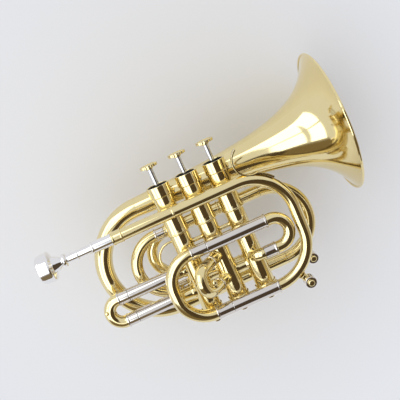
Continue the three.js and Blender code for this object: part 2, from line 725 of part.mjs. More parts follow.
const mainSlide = pullSlide({
  split: MAIN_SPLIT_X, ferrule: MAIN_FERRULE, run: MAIN_CROOK_RUN, bendRadius: MAIN_CROOK_RADIUS,
  top: MAIN_TOP_Z, foot: MAIN_FOOT_Z, radius: MAIN_RADIUS, insert: MAIN_INSERT,
});
add('main_slide', mainSlide, brass).position.y = LEAD_Y;
add('main_sleeve_upper', slideSleeve(MAIN_SPLIT_X, mainUpperEnd, MAIN_RADIUS)
  .translate(0, LEAD_Y, MAIN_TOP_Z), nickelSilver);
add('main_sleeve_lower', slideSleeve(MAIN_SPLIT_X, LEAD_BOW_X - SEAT_GAP, MAIN_RADIUS)
  .translate(0, LEAD_Y, MAIN_FOOT_Z), nickelSilver);

const smallBow = new Route(at(mainUpperEnd + SEAT_GAP, LEAD_Y, MAIN_TOP_Z), FORWARD)
  .straight(SMALL_BOW_UPPER_RUN)
  .bend(SMALL_BOW_RADIUS, Math.PI, DOWN)
  .straight(SMALL_BOW_LOWER_RUN);
add('small_bow', tube(smallBow, SMALL_BOW_TUBE), brass);
const ferruleRadius = SMALL_BOW_TUBE + INLET_FERRULE_PROUD;
add('inlet_ferrule', lengthwise([
  [ferruleStart, SMALL_BOW_TUBE - TUBE_WALL], [ferruleStart, ferruleRadius],
  [ferruleEnd - BEAD_LENGTH, ferruleRadius], [ferruleEnd - BEAD_LENGTH, ferruleRadius + BEAD_PROUD / 2],
  [ferruleEnd, ferruleRadius + BEAD_PROUD / 2], [ferruleEnd, SMALL_BOW_TUBE - TUBE_WALL],
]).translate(0, LEAD_Y, smallBowFoot), nickelSilver);

// An elbow from a tube beside the valves into the third valve's wall
function valveElbow(startX, y, z, radius, side) {
  const bendX = valveX[2] + (startX > valveX[2] ? ELBOW_RADIUS : -ELBOW_RADIUS);
  const route = new Route(at(startX, y, z), startX > valveX[2] ? BACK : FORWARD)
    .straight(Math.abs(startX - bendX))
    .bend(ELBOW_RADIUS, Math.PI / 2, side)
    .straight(Math.max(OVERRUN, Math.abs(y) - ELBOW_RADIUS - casingRadius / 2));
  return cut(tube(route, radius), casingClearance(2));
}
add('inlet_elbow', valveElbow(ferruleStart - SEAT_GAP, LEAD_Y, smallBowFoot, SMALL_BOW_TUBE,
  LEFT), brass);

const firstSlide = pullSlide({
  split: FIRST_SPLIT_X, ferrule: FIRST_FERRULE, run: FIRST_CROOK_RUN,
  bendRadius: (FIRST_TOP_Z - FIRST_FOOT_Z) / 2, top: FIRST_TOP_Z, foot: FIRST_FOOT_Z,
  radius: FIRST_RADIUS, insert: FIRST_INSERT,
});
add('first_slide', firstSlide, brass);
for (const [place, z] of [['upper', FIRST_TOP_Z], ['lower', FIRST_FOOT_Z]]) {
  const sleeve = slideSleeve(FIRST_SPLIT_X, valveX[0], FIRST_RADIUS).translate(0, 0, z);
  add(`first_sleeve_${place}`, cut(sleeve, casingClearance(0)), nickelSilver);
}

const secondSizes = {
  split: SECOND_SPLIT_X, ferrule: SECOND_FERRULE, run: SECOND_CROOK_RUN,
  bendRadius: (SECOND_TOP_Z - SECOND_FOOT_Z) / 2, top: SECOND_TOP_Z, foot: SECOND_FOOT_Z,
  radius: SECOND_RADIUS, insert: SECOND_INSERT,
};
add('second_slide', pullSlide(secondSizes), brass).rotation.z = SECOND_TURN;
for (const [place, z] of [['upper', SECOND_TOP_Z], ['lower', SECOND_FOOT_Z]]) {
  const sleeve = slideSleeve(SECOND_SPLIT_X, 0, SECOND_RADIUS).translate(0, 0, z).rotateZ(SECOND_TURN);
  add(`second_sleeve_${place}`, cut(sleeve, casingClearance(1)), nickelSilver);
}

// The second slide's pull knob: a ball on a boss that stands on the crook's lower end
function pullKnob() {
  const base = at(SECOND_SPLIT_X - SECOND_FERRULE - SECOND_CROOK_RUN + KNOB_SETBACK, 0, SECOND_FOOT_Z);
  const point = (along) => base.clone().addScaledVector(KNOB_HEADING, along);
  const slideClearance = solidTube(slideRoute(secondSizes), SECOND_RADIUS + SEAT_GAP);
  const ball = new THREE.SphereGeometry(KNOB_RADIUS, BORE_SIDES, PORT_SIDES)
    .translate(...point(KNOB_REACH).toArray());
  const boss = rod(base, point(SECOND_RADIUS + KNOB_BOSS_LENGTH), KNOB_BOSS_RADIUS);
  return cut(join(boss, ball), slideClearance);
}
add('second_slide_knob', pullKnob(), brass).rotation.z = SECOND_TURN;

const thirdSlide = pullSlide({
  split: THIRD_SPLIT_X, ferrule: THIRD_FERRULE, run: THIRD_CROOK_RUN,
  bendRadius: (THIRD_TOP_Z - THIRD_FOOT_Z) / 2, top: THIRD_TOP_Z, foot: THIRD_FOOT_Z,
  radius: THIRD_RADIUS, insert: THIRD_INSERT,
});
add('third_slide', thirdSlide, brass).position.y = THIRD_Y;
const thirdEnd = valveX[2] - ELBOW_RADIUS - ELBOW_RUN;
for (const [place, z] of [['upper', THIRD_TOP_Z], ['lower', THIRD_FOOT_Z]]) {
  add(`third_sleeve_${place}`, slideSleeve(THIRD_SPLIT_X, thirdEnd - SEAT_GAP, THIRD_RADIUS)
    .translate(0, THIRD_Y, z), nickelSilver);
  add(`third_elbow_${place}`, valveElbow(thirdEnd, THIRD_Y, z, THIRD_RADIUS, RIGHT), brass);
}

// The bell's foot tube lies under the third slide's lower leg, clear of it beside and below
const footTubeReach = THIRD_RADIUS + BEAD_PROUD + SEAT_GAP + BELL_BOW_END_RADIUS;
const footTubeDrop = Math.sqrt(Math.max(0, footTubeReach ** 2 - (BELL_Y - THIRD_Y) ** 2));
const bellFootZ = Math.min(BELL_Z - 2 * BELL_BOW_RADIUS, THIRD_FOOT_Z - footTubeDrop);
const bellZ = bellFootZ + 2 * BELL_BOW_RADIUS;
const returnZ = bellZ - RETURN_DROP;

// The bell's flare follows a horn curve: its radius falls off with distance behind the rim
const bellPower = Math.log(BELL_RIM_RADIUS / BELL_STEM_RADIUS)
  / Math.log(1 + (BELL_RIM_X - BELL_STEM_X) / BELL_FLARE_LENGTH);
function bell() {
  const length = BELL_RIM_X - BELL_STEM_X;
  const share = (i) => i / (BELL_STATIONS - 1);
  const stations = Array.from({ length: BELL_STATIONS }, (_, i) => length * (1 - (1 - share(i)) ** 2));
  const radiusAt = (behind) => BELL_RIM_RADIUS
    * (BELL_FLARE_LENGTH / (BELL_FLARE_LENGTH + behind)) ** bellPower;
  const outer = stations.map((along) => [BELL_STEM_X + along, radiusAt(length - along)]);
  const inner = outer.map(([x, radius]) => [x, radius - BELL_WALL]).reverse();
  const roll = [
    [BELL_RIM_X - BELL_ROLL, BELL_RIM_RADIUS + BELL_ROLL / 2],
    [BELL_RIM_X, BELL_RIM_RADIUS + BELL_ROLL],
    [BELL_RIM_X + BELL_ROLL, BELL_RIM_RADIUS + BELL_ROLL / 2],
    [BELL_RIM_X + BELL_ROLL, BELL_RIM_RADIUS - BELL_ROLL],
  ];
  return lengthwise([...outer.slice(0, -1), ...roll, ...inner], BELL_SIDES)
    .translate(0, BELL_Y, bellZ);
}
add('bell', bell(), brass);

const bellBow = new Route(at(BELL_STEM_X - SEAT_GAP, BELL_Y, bellZ), BACK)
  .bend(BELL_BOW_RADIUS, Math.PI, DOWN);
const bellBowRings = Array.from({ length: bellBow.steps + 1 }, (_, step) => {
  const radius = THREE.MathUtils.lerp(BELL_STEM_RADIUS, BELL_BOW_END_RADIUS, step / bellBow.steps);
  return [step, radius, radius - TUBE_WALL];
});
add('bell_bow', loft(bellBow, LEFT, bellBowRings), brass);

function taperedPipe(low, high, lowRadius, highRadius) {
  return lengthwise([
    [low, lowRadius - TUBE_WALL], [low, lowRadius], [high, highRadius], [high, highRadius - TUBE_WALL],
  ]);
}
add('bell_foot_tube', taperedPipe(BELL_STEM_X, FRONT_BOW_X, BELL_BOW_END_RADIUS, FRONT_BOW_TUBE)
  .translate(0, BELL_Y, bellFootZ), brass);

const frontRise = at(0, RETURN_Y - BELL_Y, returnZ - bellFootZ);
const frontBow = new Route(at(FRONT_BOW_X + SEAT_GAP, BELL_Y, bellFootZ), FORWARD)
  .bend(frontRise.length() / 2, Math.PI, frontRise.clone().normalize());
add('front_bow', tube(frontBow, FRONT_BOW_TUBE), brass);
add('return_tube', taperedPipe(TAIL_BOW_X, FRONT_BOW_X, RETURN_END_RADIUS, FRONT_BOW_TUBE)
  .translate(0, RETURN_Y, returnZ), brass);

const tailElbow = valveX[0] - TAIL_BOW_X + SEAT_GAP;
const tailBow = new Route(at(TAIL_BOW_X - SEAT_GAP, RETURN_Y, returnZ), BACK)
  .bend((returnZ - TAIL_Z) / 2, Math.PI, DOWN)
  .bend(tailElbow, Math.PI / 2, RIGHT)
  .straight(RETURN_Y - tailElbow - casingRadius / 2);
add('tail_bow', cut(tube(tailBow, RETURN_END_RADIUS), casingClearance(0)), brass);

const ringY = casingRadius + SEAT_GAP + RING_WIRE;
add('finger_ring', new THREE.TorusGeometry(RING_RADIUS, RING_WIRE, RING_WIRE_SIDES, ROUND_SIDES)
  .rotateX(Math.PI / 2).translate(RING_X, ringY, RING_Z), brass);

// A bent strip: the foot follows the leadpipe bow and the hook curls back over it
function fingerHook() {
  const footRadius = LEAD_BOW_RADIUS + LEAD_RADIUS + SEAT_GAP + HOOK_THICKNESS / 2;
  const arc = (x, z, radius, from, to, count) => Array.from({ length: count + 1 }, (_, i) => {
    const angle = THREE.MathUtils.lerp(from, to, i / count);
    return new THREE.Vector2(x + radius * Math.cos(angle), z + radius * Math.sin(angle));
  });
  const line = [
    ...arc(LEAD_BOW_X, -LEAD_BOW_RADIUS, footRadius, HOOK_FOOT_START, HOOK_FOOT_END, HOOK_FOOT_STEPS),
    ...arc(HOOK_X, HOOK_Z, HOOK_RADIUS, HOOK_NECK, HOOK_TIP, HOOK_STEPS),
  ];
  const side = (sign) => line.map((point, i) => {
    const before = line[Math.max(i - 1, 0)];
    const after = line[Math.min(i + 1, line.length - 1)];
    const along = after.clone().sub(before).normalize();
    return new THREE.Vector2(point.x - sign * along.y * HOOK_THICKNESS / 2,
      point.y + sign * along.x * HOOK_THICKNESS / 2);
  });
  const outline = new THREE.Shape([...side(1), ...side(-1).reverse()]);
  return new THREE.ExtrudeGeometry(outline, { depth: HOOK_WIDTH, bevelEnabled: false })
    .rotateX(Math.PI / 2).translate(0, LEAD_Y + HOOK_WIDTH / 2, 0);
}
add('finger_hook', fingerHook(), brass);

// A water key's cylinder stands off its bow on a short boss; a button pushes in from one end
function waterKey(name, centre, bowRadius, tubeRadius, angle, facing) {
  const out = at(Math.cos(angle), 0, Math.sin(angle));
  const surface = bowRadius + tubeRadius;
  const middle = centre.clone().addScaledVector(out, surface + KEY_STANDOFF);
  const seat = centre.clone().addScaledVector(out, bowRadius);
  const half = KEY_LENGTH / 2;
  const barrel = rod(middle.clone().addScaledVector(facing, -half),
    middle.clone().addScaledVector(facing, half), KEY_RADIUS, TUBE_SIDES);
  const boss = rod(seat, middle, KEY_BOSS_RADIUS, TUBE_SIDES);
  const bore = rod(middle.clone().addScaledVector(facing, KEY_WALL - half),
    middle.clone().addScaledVector(facing, half + OVERRUN), KEY_BUTTON_RADIUS + RUNNING_GAP, TUBE_SIDES);
  const bow = new Route(centre.clone().addScaledVector(at(1, 0, 0), bowRadius), DOWN)
    .bend(bowRadius, Math.PI / 2, BACK);
  const bowClearance = solidTube(bow, tubeRadius + SEAT_GAP);
  add(`${name}_body`, cut(join(barrel, boss), bore, bowClearance), nickelSilver);
  add(`${name}_button`, rod(middle.clone().addScaledVector(facing, half - KEY_PISTON_LENGTH),
    middle.clone().addScaledVector(facing, half + KEY_BUTTON_PROUD), KEY_BUTTON_RADIUS, TUBE_SIDES),
  silverPlate);
}
waterKey('front_water_key', at(LEAD_BOW_X, LEAD_Y, MAIN_FOOT_Z + LEAD_BOW_RADIUS), LEAD_BOW_RADIUS,
  LEAD_RADIUS, FRONT_KEY_ANGLE, RIGHT);
waterKey('back_water_key', at(FRONT_BOW_X, BELL_Y, (bellFootZ + returnZ) / 2), frontRise.length() / 2,
  FRONT_BOW_TUBE, BACK_KEY_ANGLE, RIGHT);

export default trumpet;
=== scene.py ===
# %% [markdown]
# # A pocket trumpet
# The plain model is the skeleton: it says where every piece sits and which body carries it.
# This lesson gives each piece its smooth surface and its finish. All sizes below are in
# millimetres, because that is how instrument makers write them, and MM turns them into metres.

# %% Load the model
import math

import bmesh
import bpy
from mathutils import Matrix, Vector


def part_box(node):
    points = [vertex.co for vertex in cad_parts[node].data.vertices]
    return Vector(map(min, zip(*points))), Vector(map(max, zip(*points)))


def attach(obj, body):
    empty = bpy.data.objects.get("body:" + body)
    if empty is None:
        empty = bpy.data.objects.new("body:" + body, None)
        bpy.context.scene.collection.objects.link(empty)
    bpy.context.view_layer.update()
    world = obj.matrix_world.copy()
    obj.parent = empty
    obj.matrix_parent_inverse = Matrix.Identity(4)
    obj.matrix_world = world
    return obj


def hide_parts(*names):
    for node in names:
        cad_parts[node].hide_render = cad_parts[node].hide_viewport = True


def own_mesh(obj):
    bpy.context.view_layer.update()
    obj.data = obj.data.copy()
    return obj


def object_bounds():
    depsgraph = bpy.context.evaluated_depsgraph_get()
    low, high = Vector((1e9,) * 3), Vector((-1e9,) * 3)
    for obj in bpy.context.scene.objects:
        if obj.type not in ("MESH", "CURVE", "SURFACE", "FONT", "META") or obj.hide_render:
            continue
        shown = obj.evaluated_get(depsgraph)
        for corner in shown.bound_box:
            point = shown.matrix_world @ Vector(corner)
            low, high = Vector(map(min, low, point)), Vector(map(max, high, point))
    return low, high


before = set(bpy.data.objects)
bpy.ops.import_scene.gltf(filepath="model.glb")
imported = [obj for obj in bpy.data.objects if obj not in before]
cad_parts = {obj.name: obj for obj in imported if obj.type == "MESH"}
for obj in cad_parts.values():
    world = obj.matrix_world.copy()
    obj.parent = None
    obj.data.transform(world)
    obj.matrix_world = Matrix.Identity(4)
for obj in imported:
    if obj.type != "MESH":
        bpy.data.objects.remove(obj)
cad_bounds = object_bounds()
MM = 0.001
FORWARD, BACK = Vector((1, 0, 0)), Vector((-1, 0, 0))
LEFT, RIGHT = Vector((0, 1, 0)), Vector((0, -1, 0))
UP, DOWN = Vector((0, 0, 1)), Vector((0, 0, -1))

# %% [markdown]
# Three jobs come up again and again: putting an object in the scene, turning and moving the points
# of a mesh, and adding a shader node. Each has a helper. A node's inputs are given by name or by
# number. Each is set to a value, or is linked if what it gets is another node's output.

# %% Helpers
def put_in_scene(name, data):
    new = bpy.data.objects.new(name, data)
    bpy.context.collection.objects.link(new)
    return new


def turn_and_move(bm, turn, shift, verts=None):
    verts = verts or bm.verts
    bmesh.ops.rotate(bm, cent=(0, 0, 0), matrix=turn, verts=verts)
    bmesh.ops.translate(bm, vec=shift, verts=verts)


def new_finish(name):
    finish = bpy.data.materials.new(name)
    finish.use_nodes = True
    return finish, finish.node_tree


def set_inputs(tree, node, inputs):
    for socket, value in inputs.items():
        if isinstance(value, bpy.types.NodeSocket):
            tree.links.new(value, node.inputs[socket])
        else:
            node.inputs[socket].default_value = value


def add_node(tree, kind, inputs=None, operation=None):
    node = tree.nodes.new(kind)
    if operation:
        node.operation = operation
    set_inputs(tree, node, inputs or {})
    return node


print("helpers are ready")

# %% [markdown]
# The camera comes first, so that everything after it can be judged through it. The photograph
# looks at the trumpet from the player's right and a little from above, and the picture is rolled,
# so the camera is aimed with a look-at turn and then rolled about its own view line. It could be
# placed by hand as well, but a direction, a distance and a roll are easier to adjust one at a time.

# %% Camera
AIM = Vector((2.6, 0, -3.3)) * MM
CAMERA_DISTANCE = 600 * MM
CAMERA_TILT = math.radians(11)
CAMERA_ROLL = math.radians(24)
PICTURE_WIDTH = 400
FOCAL_LENGTH_IN_PIXELS = 679.5

towards = Vector((0, math.cos(CAMERA_TILT), -math.sin(CAMERA_TILT)))
camera_data = bpy.data.cameras.new("camera")
camera_data.sensor_fit = "HORIZONTAL"
camera_data.angle = 2 * math.atan(0.5 * PICTURE_WIDTH / FOCAL_LENGTH_IN_PIXELS)
camera_data.clip_start = 0.01
camera = put_in_scene("camera", camera_data)
look = towards.to_track_quat("-Z", "Y").to_matrix()
roll = Matrix.Rotation(CAMERA_ROLL, 3, towards)
camera.matrix_world = Matrix.Translation(AIM - towards * CAMERA_DISTANCE) @ (roll @ look).to_4x4()
bpy.context.scene.camera = camera
bpy.context.scene.view_settings.view_transform = "Standard"
print("camera at", [round(x, 3) for x in camera.matrix_world.translation])

# %% [markdown]
# Polished metal has no look of its own: it shows the room. The photograph's room is a pale cloth
# all round, a bright window on one side and a dim room on the other. A world colour gives the pale
# surround. Lamps are the window's panes. Dark cards, which the camera can't see directly, give
# the metal the dark stripes that make it read as metal. A Light Path node gives the world two
# sides: what is seen or mirrored is pale, and what lights the felt and the cloth is softer.

# %% Pale surroundings
PALE = (0.78, 0.795, 0.84, 1)
SOFT_LIGHT = (1, 0.98, 0.95, 1)
SOFT_LIGHT_STRENGTH = 0.5
world = bpy.data.worlds.new("pale_room")
bpy.context.scene.world = world
world.use_nodes = True
tree = world.node_tree
tree.nodes.clear()
path = add_node(tree, "ShaderNodeLightPath").outputs
seen = add_node(tree, "ShaderNodeMath", {0: path["Is Camera Ray"], 1: path["Is Glossy Ray"]}, "MAXIMUM")
through = add_node(tree, "ShaderNodeMath", {0: seen.outputs[0], 1: path["Is Transmission Ray"]},
                   "MAXIMUM")
soft_light = add_node(tree, "ShaderNodeBackground", {"Color": SOFT_LIGHT, "Strength": SOFT_LIGHT_STRENGTH})
pale_room = add_node(tree, "ShaderNodeBackground", {"Color": PALE})
mix = add_node(tree, "ShaderNodeMixShader", {0: through.outputs[0], 1: soft_light.outputs[0],
                                             2: pale_room.outputs[0]})
add_node(tree, "ShaderNodeOutputWorld", {0: mix.outputs[0]})
print("surroundings", PALE[:3], "with soft light of strength", SOFT_LIGHT_STRENGTH)

# %% [markdown]
# The photograph's highlights say where its windows are. Each bright band on a tube mirrors one
# direction, and together they draw a tall window with four panes, ahead and to the left. So four
# area lamps stand there, two above two, turned to the trumpet. They are big and dim, because a
# small bright lamp would make hard white specks.

# %% Window lamps
def in_direction(across, up, distance):
    across, up = math.radians(across), math.radians(up)
    sideways = math.sin(across) * math.cos(up)
    forwards = -math.cos(across) * math.cos(up)
    return AIM + Vector((sideways, forwards, math.sin(up))) * distance


WINDOW_SIDES = (("left", -59), ("right", -27))
WINDOW_LEVELS = (("upper", 32), ("lower", -8))
WINDOW_DISTANCE = 1.2
PANE_SIZE = (0.54, 0.8)
PANE_POWER = 2.2
DAYLIGHT = (0.88, 0.94, 1)
for side, across in WINDOW_SIDES:
    for level, up in WINDOW_LEVELS:
        lamp = bpy.data.lights.new(f"{side}_{level}_pane", "AREA")
        lamp.shape = "RECTANGLE"
        lamp.size, lamp.size_y = PANE_SIZE
        lamp.energy = PANE_POWER
        lamp.color = DAYLIGHT
        lamp_object = put_in_scene(lamp.name, lamp)
        lamp_object.location = in_direction(across, up, WINDOW_DISTANCE)
        turn = (AIM - lamp_object.location).to_track_quat("-Z", "Y")
        lamp_object.rotation_euler = turn.to_euler()
        print(lamp.name, "at", [round(c, 2) for c in lamp_object.location])

# %% [markdown]
# The dark bands on the metal are the rest of the room, which is dim and warm-coloured. Cards stand
# in for it. A hard edge would draw a hard line on every tube, so a card's colour fades into the
# pale surroundings towards its top. The fade runs along a slanted line, because the band on the
# bell slants too.

# %% A card's finish
def room_finish(name, colour, lean, fade):
    finish, tree = new_finish(name)
    tree.nodes.clear()
    place = add_node(tree, "ShaderNodeTexCoord")
    height = add_node(tree, "ShaderNodeVectorMath", {0: place.outputs["Object"], 1: (-lean, 0, 1)},
                      "DOT_PRODUCT")
    lighter = add_node(tree, "ShaderNodeMapRange", {"Value": height.outputs["Value"],
                                                    "From Min": fade[0], "From Max": fade[1]})
    dim = add_node(tree, "ShaderNodeEmission", {"Color": (*colour, 1)})
    pale = add_node(tree, "ShaderNodeEmission", {"Color": PALE})
    mix = add_node(tree, "ShaderNodeMixShader", {0: lighter.outputs["Result"], 1: dim.outputs[0],
                                                 2: pale.outputs[0]})
    add_node(tree, "ShaderNodeOutputMaterial", {0: mix.outputs[0]})
    return finish


# %% [markdown]
# There are three cards: one below the camera, one to its right and one low in front of the
# trumpet. Only mirror reflections can see a card, so it neither blocks the lamps nor shows in the
# picture. A plane would do as well, but a grid that is scaled and turned in its own mesh keeps the
# object at the origin, where the fade's heights are the room's heights.

# %% Cards for the metal to reflect
def room_card(name, colour, across, up, distance, size, fade, lean=0):
    middle = in_direction(across, up, distance)
    bm = bmesh.new()
    bmesh.ops.create_grid(bm, x_segments=1, y_segments=1, size=0.5)
    bmesh.ops.scale(bm, vec=(*size, 1), verts=bm.verts)
    turn = (AIM - middle).to_track_quat("-Z", "Y").to_matrix()
    turn_and_move(bm, turn, middle)
    mesh = bpy.data.meshes.new(name)
    bm.to_mesh(mesh)
    bm.free()
    mesh.materials.append(room_finish(name, colour, lean, fade))
    card = put_in_scene(name, mesh)
    card.visible_camera = False
    card.visible_diffuse = False
    card.visible_shadow = False
    print(name, "in direction", across, up)


DIM_ROOM = (0.075, 0.053, 0.033)
HALF_LIT_ROOM = (0.42, 0.36, 0.27)
SHADED_ROOM = (0.2, 0.15, 0.08)
room_card("room_behind_the_camera", DIM_ROOM, across=20, up=-32, distance=0.5, size=(0.6, 1.1),
          fade=(-0.04, 0.06), lean=0.7)
room_card("room_on_the_right", HALF_LIT_ROOM, across=84, up=-22, distance=0.6, size=(0.7, 0.7),
          fade=(-0.05, 0.2))
room_card("room_in_front_below", SHADED_ROOM, across=-35, up=-50, distance=0.55, size=(0.9, 0.5),
          fade=(-0.31, -0.23))

# %% [markdown]
# The cloth is one sheet: a floor under the trumpet that sweeps up behind it, as on a table for
# product pictures. It could be two planes, but their corner would show as a line. So an edge is
# drawn out to make the floor, spun a quarter turn and drawn out once more.

# %% Floor and backdrop
FLOOR_DROP = 400 * MM
BACKDROP_Y = 94 * MM
SWEEP_RADIUS = 300 * MM
SWEEP_STEPS = 32
CLOTH_REACH = 5
floor_height = cad_bounds[0].z - FLOOR_DROP
sweep_start = BACKDROP_Y - SWEEP_RADIUS
bm = bmesh.new()
front_corners = [bm.verts.new((x, -CLOTH_REACH, floor_height)) for x in (-CLOTH_REACH, CLOTH_REACH)]
front_edge = bm.edges.new(front_corners)


def draw_out(edges, shift):
    new = bmesh.ops.extrude_edge_only(bm, edges=edges)["geom"]
    verts = [g for g in new if isinstance(g, bmesh.types.BMVert)]
    bmesh.ops.translate(bm, vec=shift, verts=verts)
    return [e for e in new if isinstance(e, bmesh.types.BMEdge) and all(v in verts for v in e.verts)]


edges = draw_out([front_edge], (0, CLOTH_REACH + sweep_start, 0))
swept = bmesh.ops.spin(bm, geom=edges, cent=(0, sweep_start, floor_height + SWEEP_RADIUS),
                       axis=(1, 0, 0), angle=math.pi / 2, steps=SWEEP_STEPS)["geom_last"]
draw_out([g for g in swept if isinstance(g, bmesh.types.BMEdge)], (0, 0, CLOTH_REACH))
bm.normal_update()
if max(bm.faces, key=lambda face: face.calc_center_median().z).normal.y > 0:
    bmesh.ops.reverse_faces(bm, faces=bm.faces)
cloth_mesh = bpy.data.meshes.new("pale_cloth")
bm.to_mesh(cloth_mesh)
bm.free()
cloth_mesh.shade_smooth()
cloth_sheet = put_in_scene("floor", cloth_mesh)
print("floor at", round(floor_height, 4), "backdrop at", BACKDROP_Y)

# %% [markdown]
# The cloth is matt, and takes the trumpet's soft shadow. Near the trumpet its colour is also
# a little darker and warmer than further out, which is painted shade. Further out it fades into the
# colour of the surroundings, so that no horizon shows. From behind it is see-through, so that the
# back of the trumpet can be looked at as well.

# %% The cloth's finish
# Near the trumpet the cloth is painted a little darker and warmer than further out: painted shade round
# it.
NEAR_CLOTH_COLOUR_AND_SHADE = (0.82, 0.795, 0.765, 1)
FADE_START, FADE_END = 120 * MM, 320 * MM
cloth, tree = new_finish("pale_cloth")
tree.nodes.clear()
place = add_node(tree, "ShaderNodeTexCoord")
reach = add_node(tree, "ShaderNodeVectorMath", {0: place.outputs["Object"]}, "LENGTH")
fade = add_node(tree, "ShaderNodeMapRange", {"Value": reach.outputs["Value"], "From Min": FADE_START,
                                             "From Max": FADE_END})
near = add_node(tree, "ShaderNodeBsdfDiffuse", {"Color": NEAR_CLOTH_COLOUR_AND_SHADE})
far = add_node(tree, "ShaderNodeEmission", {"Color": PALE})
front = add_node(tree, "ShaderNodeMixShader", {0: fade.outputs["Result"], 1: near.outputs[0],
                                               2: far.outputs[0]})
side = add_node(tree, "ShaderNodeNewGeometry")
clear = add_node(tree, "ShaderNodeBsdfTransparent")
both = add_node(tree, "ShaderNodeMixShader", {0: side.outputs["Backfacing"], 1: front.outputs[0],
                                              2: clear.outputs[0]})
add_node(tree, "ShaderNodeOutputMaterial", {0: both.outputs[0]})
cloth_mesh.materials.append(cloth)
print(cloth.name, "fades out between", FADE_START, "and", FADE_END)

# %% [markdown]
# Real surfaces aren't even. A picture of patches or scratches could show that, but noise needs no
# picture, has no seams and can be read at every size. It sits on Object coordinates, so that it
# stays on the piece when the piece moves.

# %% Noise on a surface
PATCH_SCALE, BUFFING_SCALE, WAVE_SCALE, NAP_SCALE = 35, 400, 90, 2500


def surface_noise(tree, scale, detail):
    place = add_node(tree, "ShaderNodeTexCoord")
    noise = add_node(tree, "ShaderNodeTexNoise", {"Vector": place.outputs["Object"], "Scale": scale,
                                                  "Detail": detail})
    return noise.outputs["Fac"]


print("patches are about", round(1000 / PATCH_SCALE), "mm and waves", round(1000 / WAVE_SCALE), "mm")

# %% [markdown]
# A polished metal is a Principled shader with Metallic at 1. Real polish isn't perfect: buffing
# leaves soft patches and very shallow waves, and lacquer pools slightly. So one noise varies the
# colour, a finer one varies the roughness, and a third drives a bump of a few microns.

# %% Polished metal
LACQUER_IOR, WAVE_DEPTH = 1.45, 1 * MM


def polished_metal(name, colour, deep_colour, roughness, spread, wave, coat=0.0, coat_roughness=0.05):
    finish, tree = new_finish(name)
    tint = add_node(tree, "ShaderNodeMix")
    tint.data_type = "RGBA"
    set_inputs(tree, tint, {0: surface_noise(tree, PATCH_SCALE, 3), 6: (*colour, 1), 7: (*deep_colour, 1)})
    gloss = add_node(tree, "ShaderNodeMapRange", {
        "Value": surface_noise(tree, BUFFING_SCALE, 4), "To Min": roughness, "To Max": roughness + spread,
    })
    bump = add_node(tree, "ShaderNodeBump", {
        "Height": surface_noise(tree, WAVE_SCALE, 2), "Strength": wave, "Distance": WAVE_DEPTH,
    })
    set_inputs(tree, tree.nodes["Principled BSDF"], {
        "Metallic": 1, "Base Color": tint.outputs[2], "Roughness": gloss.outputs["Result"],
        "Normal": bump.outputs["Normal"], "Coat Weight": coat, "Coat Roughness": coat_roughness,
        "Coat IOR": LACQUER_IOR,
    })
    return finish


# %% [markdown]
# The body is brass under a clear lacquer, which is a second, colourless gloss: the shader's coat.
# Slide sleeves are nickel silver, which wears well. The mouthpiece and its receiver are silver
# plated. The stems and the slides' inner legs are a plain bright steel colour. Pistons and springs
# aren't polished, so they are rougher.

# %% The metals of the trumpet
brass = polished_metal("lacquered_brass", (0.9, 0.77, 0.42), (0.86, 0.71, 0.35), 0.06, 0.05, 0.015,
                       coat=0.4, coat_roughness=0.03)
nickel_silver = polished_metal("bright_nickel_silver", (0.81, 0.76, 0.7), (0.75, 0.7, 0.64),
                               0.05, 0.05, 0.02)
silver_plate = polished_metal("bright_silver_plate", (0.95, 0.94, 0.92), (0.9, 0.88, 0.86),
                              0.04, 0.05, 0.02)
stem_metal = polished_metal("polished_stem_metal", (0.8, 0.8, 0.8), (0.7, 0.7, 0.71), 0.12, 0.08, 0.02)
honed_metal = polished_metal("honed_piston_metal", (0.68, 0.67, 0.64), (0.6, 0.59, 0.56),
                             0.22, 0.12, 0.04)
spring_wire = polished_metal("drawn_spring_wire", (0.6, 0.61, 0.62), (0.48, 0.49, 0.5), 0.3, 0.15, 0.05)
print("metals:", [finish.name for finish in (brass, nickel_silver, silver_plate, stem_metal)])

# %% [markdown]
# Felt under the finger buttons is the one thing here that isn't metal. It is matted wool, nearly
# black: almost no shine, and a fine irregular nap that a strong, small bump gives.

# %% Felt
FELT_DEEP, FELT_RAISED = (0.004, 0.003, 0.003, 1), (0.02, 0.015, 0.012, 1)
NAP_DEPTH = 0.4 * MM
felt, tree = new_finish("dark_felt")
nap = surface_noise(tree, NAP_SCALE, 4)
shade = add_node(tree, "ShaderNodeValToRGB", {"Fac": nap})
shade.color_ramp.elements[0].color = FELT_DEEP
shade.color_ramp.elements[1].color = FELT_RAISED
bump = add_node(tree, "ShaderNodeBump", {"Height": nap, "Distance": NAP_DEPTH})
set_inputs(tree, tree.nodes["Principled BSDF"], {
    "Base Color": shade.outputs["Color"], "Normal": bump.outputs["Normal"], "Roughness": 0.95,
    "Specular IOR Level": 0.1,
})
print("felt:", felt.name)

# %% [markdown]
# The plain model names its materials too.

# %% [markdown]
# Every new piece ends the same way: doubles are merged, faces are turned outwards, the mesh is
# shaded smooth except at true corners, the piece is hung on the body that it rides on, and the
# plain pieces of the model that it stands for are hidden.

# %% Finish a piece
MERGE_DISTANCE = 0.002 * MM


def make_piece(bm, name, finish, body="trumpet", stands_for=(), corner=35):
    bmesh.ops.remove_doubles(bm, verts=bm.verts, dist=MERGE_DISTANCE)
    bmesh.ops.recalc_face_normals(bm, faces=bm.faces)
    mesh = bpy.data.meshes.new(name)
    bm.to_mesh(mesh)
    bm.free()
    mesh.shade_smooth()
    mesh.set_sharp_from_angle(angle=math.radians(corner))
    mesh.materials.append(finish)
    piece = put_in_scene(name, mesh)
    if stands_for:
        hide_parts(*stands_for)
    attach(piece, body)
    print(name, "has", len(mesh.polygons), "faces and rides on", body)
    return piece


